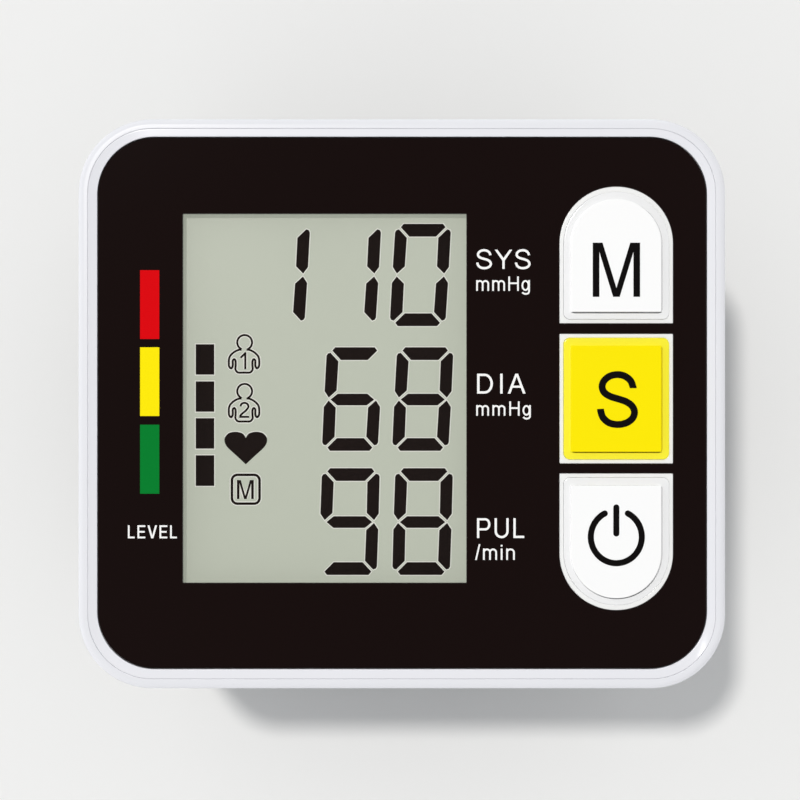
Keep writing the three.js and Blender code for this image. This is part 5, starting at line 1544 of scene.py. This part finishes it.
def seam(stations, x, out, inward=False):
    """Stitches along a line at one x: places every pitch, with the line's own directions."""
    line, normal, run = stations
    at = np.arange(STITCH_PITCH / 2, run[-1] - 0.6, STITCH_PITCH)
    n = unit(sampled(at, run, normal))
    zero = np.zeros(len(at))
    outward = np.column_stack([zero, n]) * (-1 if inward else 1)
    along = np.column_stack([zero, n[:, 1], -n[:, 0]])
    places = np.column_stack([zero + CASE_X + x, sampled(at, run, line + out * normal)])
    return stitches(places, along, outward)


def cross_seam(stations, out, reach):
    """Stitches in a row across the cuff, close to the end of a line."""
    line, normal, run = stations
    x = np.arange(-reach, reach + 0.1, STITCH_PITCH)
    n = sampled(run[-1] - FROM_END, run, normal)
    p = sampled(run[-1] - FROM_END, run, line) + out * n
    many = (len(x), 1)
    places = np.column_stack([CASE_X + x, np.tile(p, many)])
    return stitches(places, np.tile([1.0, 0.0, 0.0], many), np.tile([0.0, *n], many))


rows = [cross_seam(tape_line, 4.86, 27)]
for side in (-1, 1):
    rows.append(seam(tape_line, side * STITCH_X, 5.6))
    rows.append(seam(tape_line, side * STITCH_X, -0.6, inward=True))
    rows.append(seam(tape_line, side * SEAM_X, 0.12, inward=True))
points, faces = together(*rows)
points[:, 2] = np.maximum(points[:, 2], 0.01)
add_piece("cuff_stitching", (points, faces), "sewing_thread", "binding_tape", crease=STITCH_CREASE)

# %% Tail
TAIL_HALF, TAIL_CORNER = 29.0, 10.0


def narrowed(stations, half):
    """The half width of a strip with a rounded end: half - R + sqrt(R^2 - d^2) within R of the end."""
    into = np.clip(TAIL_CORNER - (stations[2][-1] - stations[2]), 0, TAIL_CORNER)
    return half - TAIL_CORNER + np.sqrt(TAIL_CORNER**2 - into**2)


tail_line = even_line(tail_parts, 4.2, 47)
tail_run = tail_line[2]
tail_half = narrowed(tail_line, TAIL_HALF)
tail_rings = pad_rings(tail_line, tail_half, 3.45, 4.95)
edge_gap = each_point(tail_half) - off_middle(tail_rings.reshape(-1, 3))
tail_end = each_point(tail_run[-1] - tail_run)
sewn = ~upper_of(tail_line) | (edge_gap < 2.6) | (tail_end < 2.6) | each_point(tail_run < 1.5)
tail_pad = blown(solid(tail_rings), sewn, 9.0, 0.6)
tail_pad = puckered(tail_pad, tail_line, np.minimum(edge_gap, tail_end) - FROM_END)
tail_map = pad_map(tail_line, tail_half)
tail = add_piece(
    "cuff_tail_tab", tail_pad, "cuff_pile", "cuff_fabric", "cuff_tail", body=None, cloth_map=tail_map
)
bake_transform(tail)
print("tail", round(tail_run[-1], 1), "mm long")

# %% [markdown]
# ## Hook tape
# Under the tail lies the hook half of the fastener: a flat woven tape with rows of tiny bent hooks. It
# shows only when the tail is peeled back. One hook is a tube round a short bent line, and the field of
# hooks is that tube at every place of a grid on the tape.

# %% Hook tape
HOOK_HALF = 24.8
HOOK_ROWS, HOOK_COLUMNS = 1.5, 1.45
hook_foot = (np.array([[-TURN_Y - WRIST_ROUND - TAIL_SHIFT, LOW + 3.2]]), LEFTWARD)
hook_parts = [hook_foot, turn(-TURN_Y, HIGH, WRIST_ROUND + TAIL_SHIFT, 180, 146)]
hook_line = even_line(hook_parts, 3, 31)
hook_half = narrowed(hook_line, HOOK_HALF)
hook_map = pad_map(hook_line, hook_half)
base = solid(pad_rings(hook_line, hook_half, 2.9, 3.2))
add_piece("hook_base", base, "hook_weave", "hook_tape", "hook_tape", "cuff_flap", cloth_map=hook_map)

# %% Hooks
BENT = np.array([(0, 0.03), (0, -0.15), (0.02, -0.26), (0.1, -0.34), (0.2, -0.33), (0.25, -0.25)])
HOOK_THICK = np.array([0.11, 0.1, 0.09, 0.08, 0.07, 0.05])[:, None]
line, normal, run = hook_line
rows_at = np.arange(1.0, run[-1] - 1.0, HOOK_ROWS)
hook_x, hook_run = (v.ravel() for v in np.meshgrid(np.arange(-23.2, 23.3, HOOK_COLUMNS), rows_at))
keep = np.abs(hook_x) < np.interp(hook_run, run, hook_half) - 1.2
hook_x, hook_run = hook_x[keep], hook_run[keep]
n = sampled(hook_run, run, normal)
p = sampled(hook_run, run, line) + 2.92 * n
t_dir = np.stack([n[:, 1], -n[:, 0]], axis=1)
bend_dir = unit(np.gradient(BENT, axis=0))
a = circle(5)
local_x = (HOOK_THICK * np.cos(a)).reshape(1, -1, 1)
local_t = (BENT[:, :1] - bend_dir[:, 1:] * HOOK_THICK * np.sin(a)).reshape(1, -1, 1)
local_n = (BENT[:, 1:] + bend_dir[:, :1] * HOOK_THICK * np.sin(a)).reshape(1, -1, 1)
hook_yz = p[:, None, :] + local_t * t_dir[:, None, :] + local_n * n[:, None, :]
hook_points = np.concatenate([(CASE_X + hook_x)[:, None, None] + local_x, hook_yz], axis=-1)
hooks = repeated(hook_points, 6, 5)
add_piece("hook_field", hooks, "lead_black", "hook_tape", body="cuff_flap", crease=STITCH_CREASE)
print(len(hook_x), "hooks")

# %% Tail stitches
line, normal, run = tail_line
keep = (run > 4.0) & (run < run[-1] - TAIL_CORNER)
straight_line = (line[keep], normal[keep], run[keep] - run[keep][0])
tail_rows = [seam(straight_line, side * (TAIL_HALF - FROM_END), 4.93) for side in (-1, 1)]
tail_seams = together(*tail_rows, cross_seam(tail_line, 4.93, 16.2))
on_tail = {"body": "cuff_flap", "crease": STITCH_CREASE}
add_piece("tail_stitching", tail_seams, "sewing_thread", "cuff_fabric", **on_tail)

# %% Cuff plate
PLATE_ROUND = 0.3
plate_x, plate_y, (plate_low, plate_high) = zip(*corners("cuff_plate"))
plate_outline = drawn_in(plate_x, plate_y, 1.5, 1.0)
plate_top = quarter(PLATE_ROUND, plate_high - PLATE_ROUND, PLATE_ROUND, 90, 180)
plate_foot = quarter(PLATE_ROUND, plate_low + PLATE_ROUND, PLATE_ROUND, 180, 270)
plate_rings = chain(plate_outline, held(np.concatenate([plate_top, plate_foot]), CAP_HOLD))
plate_holes = [
    turned([(r, plate_high), (r, plate_low)], (CASE_X + x, y, 0), sides=24) for r, x, y in FLOOR_HOLES
]
add_piece("mount_plate", solid(plate_rings, *plate_holes), "black_plastic", stands_for="cuff_plate")

# %% [markdown]
# ## Inside
# With the door off, two slim cells show in the bay, with coiled springs at their flat ends. The air line
# runs behind them: soft hoses from the pump to a manifold, the valve and the pressure sensor, and two
# leads to the board. Cells and springs are profiles carried round or along a line; the hoses are tubes
# with a bore.

# %% Cells
JACKET = [
    (0.0, (0.6, 0.6, 0.61, 1)),
    (0.03, (0.045, 0.1, 0.24, 1)),
    (0.72, (0.75, 0.76, 0.78, 1)),
    (0.745, (0.06, 0.3, 0.42, 1)),
    (0.955, (0.6, 0.6, 0.61, 1)),
]
tree, shader = bare_finish("cell_jacket", {"Coat Weight": 0.4})
cloth = node(tree, "ShaderNodeTexCoord").outputs["UV"]
bands = node(tree, "ShaderNodeValToRGB", {0: node(tree, "ShaderNodeSeparateXYZ", {0: cloth}).outputs[1]})
bands.color_ramp.interpolation = "CONSTANT"
for element, (position, colour) in zip(bands.color_ramp.elements, JACKET[:2]):
    element.position = position
    element.color = colour
for position, colour in JACKET[2:]:
    bands.color_ramp.elements.new(position).color = colour
tree.links.new(bands.outputs[0], shader.inputs["Base Color"])
jacket_rough = math_node(tree, "MULTIPLY_ADD", object_noise(tree, 900.0, 3.0), 0.16, 0.22)
tree.links.new(jacket_rough, shader.inputs["Roughness"])

CELL_SIDES, CELL_LONG = 56, 44.5
CELL_FOOT = [(0, 0), (4.2, 0), (4.5, 0.15), (4.75, 0.1), (5.1, 0.25), (5.25, 0.7)]
CELL_HEAD = [(5.25, 42.6), (5.1, 43.1), (4.6, 43.35), (4.3, 43.55), (2.4, 43.6), (1.9, 43.7), (1.9, 44.3)]
CELL = np.array(CELL_FOOT + CELL_HEAD + [(1.75, CELL_LONG), (0, CELL_LONG)])
around = np.linspace(0, 1, CELL_SIDES, endpoint=False)[None, :]
cell_map = np.stack(np.broadcast_arrays(around, CELL[:, 1:] / CELL_LONG), axis=-1).reshape(-1, 2)
for label, way in (("battery_outer", 1), ("battery_inner", -1)):
    low, high = corners(label)
    middle = centre(label)
    middle[1] = low[1] if way > 0 else high[1]
    cell = solid(turned(CELL * (1, way), middle, axis=1, sides=CELL_SIDES))
    add_piece(f"{label}_cell", cell, "cell_jacket", stands_for=label, cloth_map=cell_map)

# %% Springs
SPRING_WIRE = 0.2
SPRING_WIDE, SPRING_SLIM, SPRING_TURNS = 3.4, 1.8, 2


def tube(line, radius, flat_normal, sides):
    """Circles carried along a line: p + r (cos a side + sin a up), where side is given or constant."""
    line = np.asarray(line, float)
    along = unit(np.gradient(line, axis=0))
    side = np.broadcast_to(np.asarray(flat_normal, float), line.shape)
    side = unit(side - along * np.sum(side * along, axis=1, keepdims=True))
    up = np.cross(along, side)
    a = circle(sides)[None, :, None]
    return line[:, None, :] + radius * (np.cos(a) * side[:, None, :] + np.sin(a) * up[:, None, :])


for label, way in (("contact_spring_negative", 1), ("contact_spring_bridge", -1)):
    low, high = corners(label)
    rise = np.linspace(0, 1, 121)
    angle = rise * 2 * SPRING_TURNS * np.pi
    radius = SPRING_WIDE + (SPRING_SLIM - SPRING_WIDE) * rise
    reach = SPRING_WIRE + rise * (high[1] - low[1] - 2 * SPRING_WIRE)
    y = low[1] + reach if way > 0 else high[1] - reach
    radial = np.column_stack([np.cos(angle), 0 * angle, way * np.sin(angle)])
    coil_middle = [centre(label)[0], 0, centre("battery_outer")[2]]
    line = np.column_stack([0 * angle, y, 0 * angle]) + radius[:, None] * radial + coil_middle
    add_piece(f"{label}_coil", solid(tube(line, SPRING_WIRE, radial, 10)), "steel", stands_for=label)

# %% Hoses and leads
HOSE_OUT, HOSE_BORE = 2.4, 1.65
LEAD = 0.45


def straight_hose(node_name, axis):
    """The middle line of a straight hose, from one end of its CAD node's box to the other along an axis."""
    ends = np.tile(centre(node_name), (2, 1))
    ends[:, axis] = np.array(corners(node_name))[:, axis]
    return np.linspace(*ends, 9)


low, high = corners("hose_pump")
pump_x, port_x = centre("pump_head")[0], CASE_X + PORT[0]
pump_end, port_end = corners("pump_head")[0][1] + 3.45, high[1] - 4.95
bend_round = (pump_x - port_x) / 2
bend = arc((pump_x + port_x) / 2, low[1] + HOSE_OUT + bend_round, bend_round, 0, -180, 28)
to_bend = np.linspace((pump_x, pump_end), bend[0], 9)[:-1]
from_bend = np.linspace(bend[-1], (port_x, port_end), 9)[1:]
pump_route = at_level(np.concatenate([to_bend, bend, from_bend]), centre("hose_pump")[2])
hose_routes = {
    "hose_sensor": (straight_hose("hose_sensor", 2), (1, 0, 0)),
    "hose_valve": (straight_hose("hose_valve", 1), (0, 0, 1)),
    "hose_pump": (pump_route, (0, 0, 1)),
}
for label, (route, normal) in hose_routes.items():
    outside, bore = (tube(route, radius, normal, 24) for radius in (HOSE_OUT, HOSE_BORE))
    hose = hollow(np.concatenate([outside, bore[::-1]]))
    add_piece(f"{label}_tube", hose, "hose_rubber", stands_for=label)
    print(label, round(float(run_along(route)[-1]), 1), "mm along")

for colour in ("lead_red", "lead_black"):
    label = f"pump_{colour}"
    low, high = corners(label)
    reach, foot, top = high[1] - LEAD, low[2] + LEAD * 0.3, high[2] - LEAD
    rise = top - foot
    first_half = [(reach - 0.75, foot), (reach, foot + rise / 4)]
    route = smooth_line(first_half + [(reach - 0.37, foot + rise * 0.75), (low[1] + LEAD * 0.5, top)])
    line = np.column_stack([np.full(len(route), centre(label)[0]), route])
    add_piece(f"{label}_wire", solid(tube(line, LEAD, (1, 0, 0), 12)), colour, stands_for=label)

# %% [markdown]
# ## Finishes of the CAD parts that stay
# The board, its chips, the pump and the valve have the right shapes already, so they keep their CAD
# meshes and take the finishes from above. The board gets its own: a green mask over copper tracks that
# run in straight lanes.

# %% CAD finishes
LANES = {
    "Scale": 400.0,
    "Mortar Size": 0.06,
    "Color1": (0.018, 0.15, 0.05, 1),
    "Color2": (0.02, 0.17, 0.055, 1),
    "Mortar": (0.05, 0.28, 0.1, 1),
}
tree, shader = bare_finish("board_green", {})
place = node(tree, "ShaderNodeTexCoord").outputs["Object"]
lanes = node(tree, "ShaderNodeTexBrick", {"Vector": place, **LANES})
tree.links.new(lanes.outputs["Color"], shader.inputs["Base Color"])
board_rough = math_node(tree, "MULTIPLY_ADD", object_noise(tree, 700.0, 2.0), 0.2, 0.3)
tree.links.new(board_rough, shader.inputs["Roughness"])

switches = [f"switch_{part}_{key}" for part in ("base", "plunger") for key in KEYS]
black_parts = ["pump_head", "valve_body", "air_manifold", "pressure_sensor", "bladder_port"]
cad_finish = {
    "display_glass": ["lcd_cell"],
    "cover_white": ["lcd_frame", "battery_bay_cover"],
    "board_green": ["main_board"],
    "black_plastic": ["processor_chip", "buzzer", *black_parts, *switches],
    "steel": ["pump_motor", "pump_shaft", "valve_plunger"],
    "contact_metal": ["contact_bridge", "contact_negative", "contact_positive"],
    "grey_rubber": ["zebra_strip", "pump_sleeve", "pump_diaphragm"],
}
for finish, names in cad_finish.items():
    for name in names:
        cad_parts[name].material_slots[0].material = finishes[finish]
shown = [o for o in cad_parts.values() if not o.hide_render]
print(len(shown), "CAD nodes stay in sight")
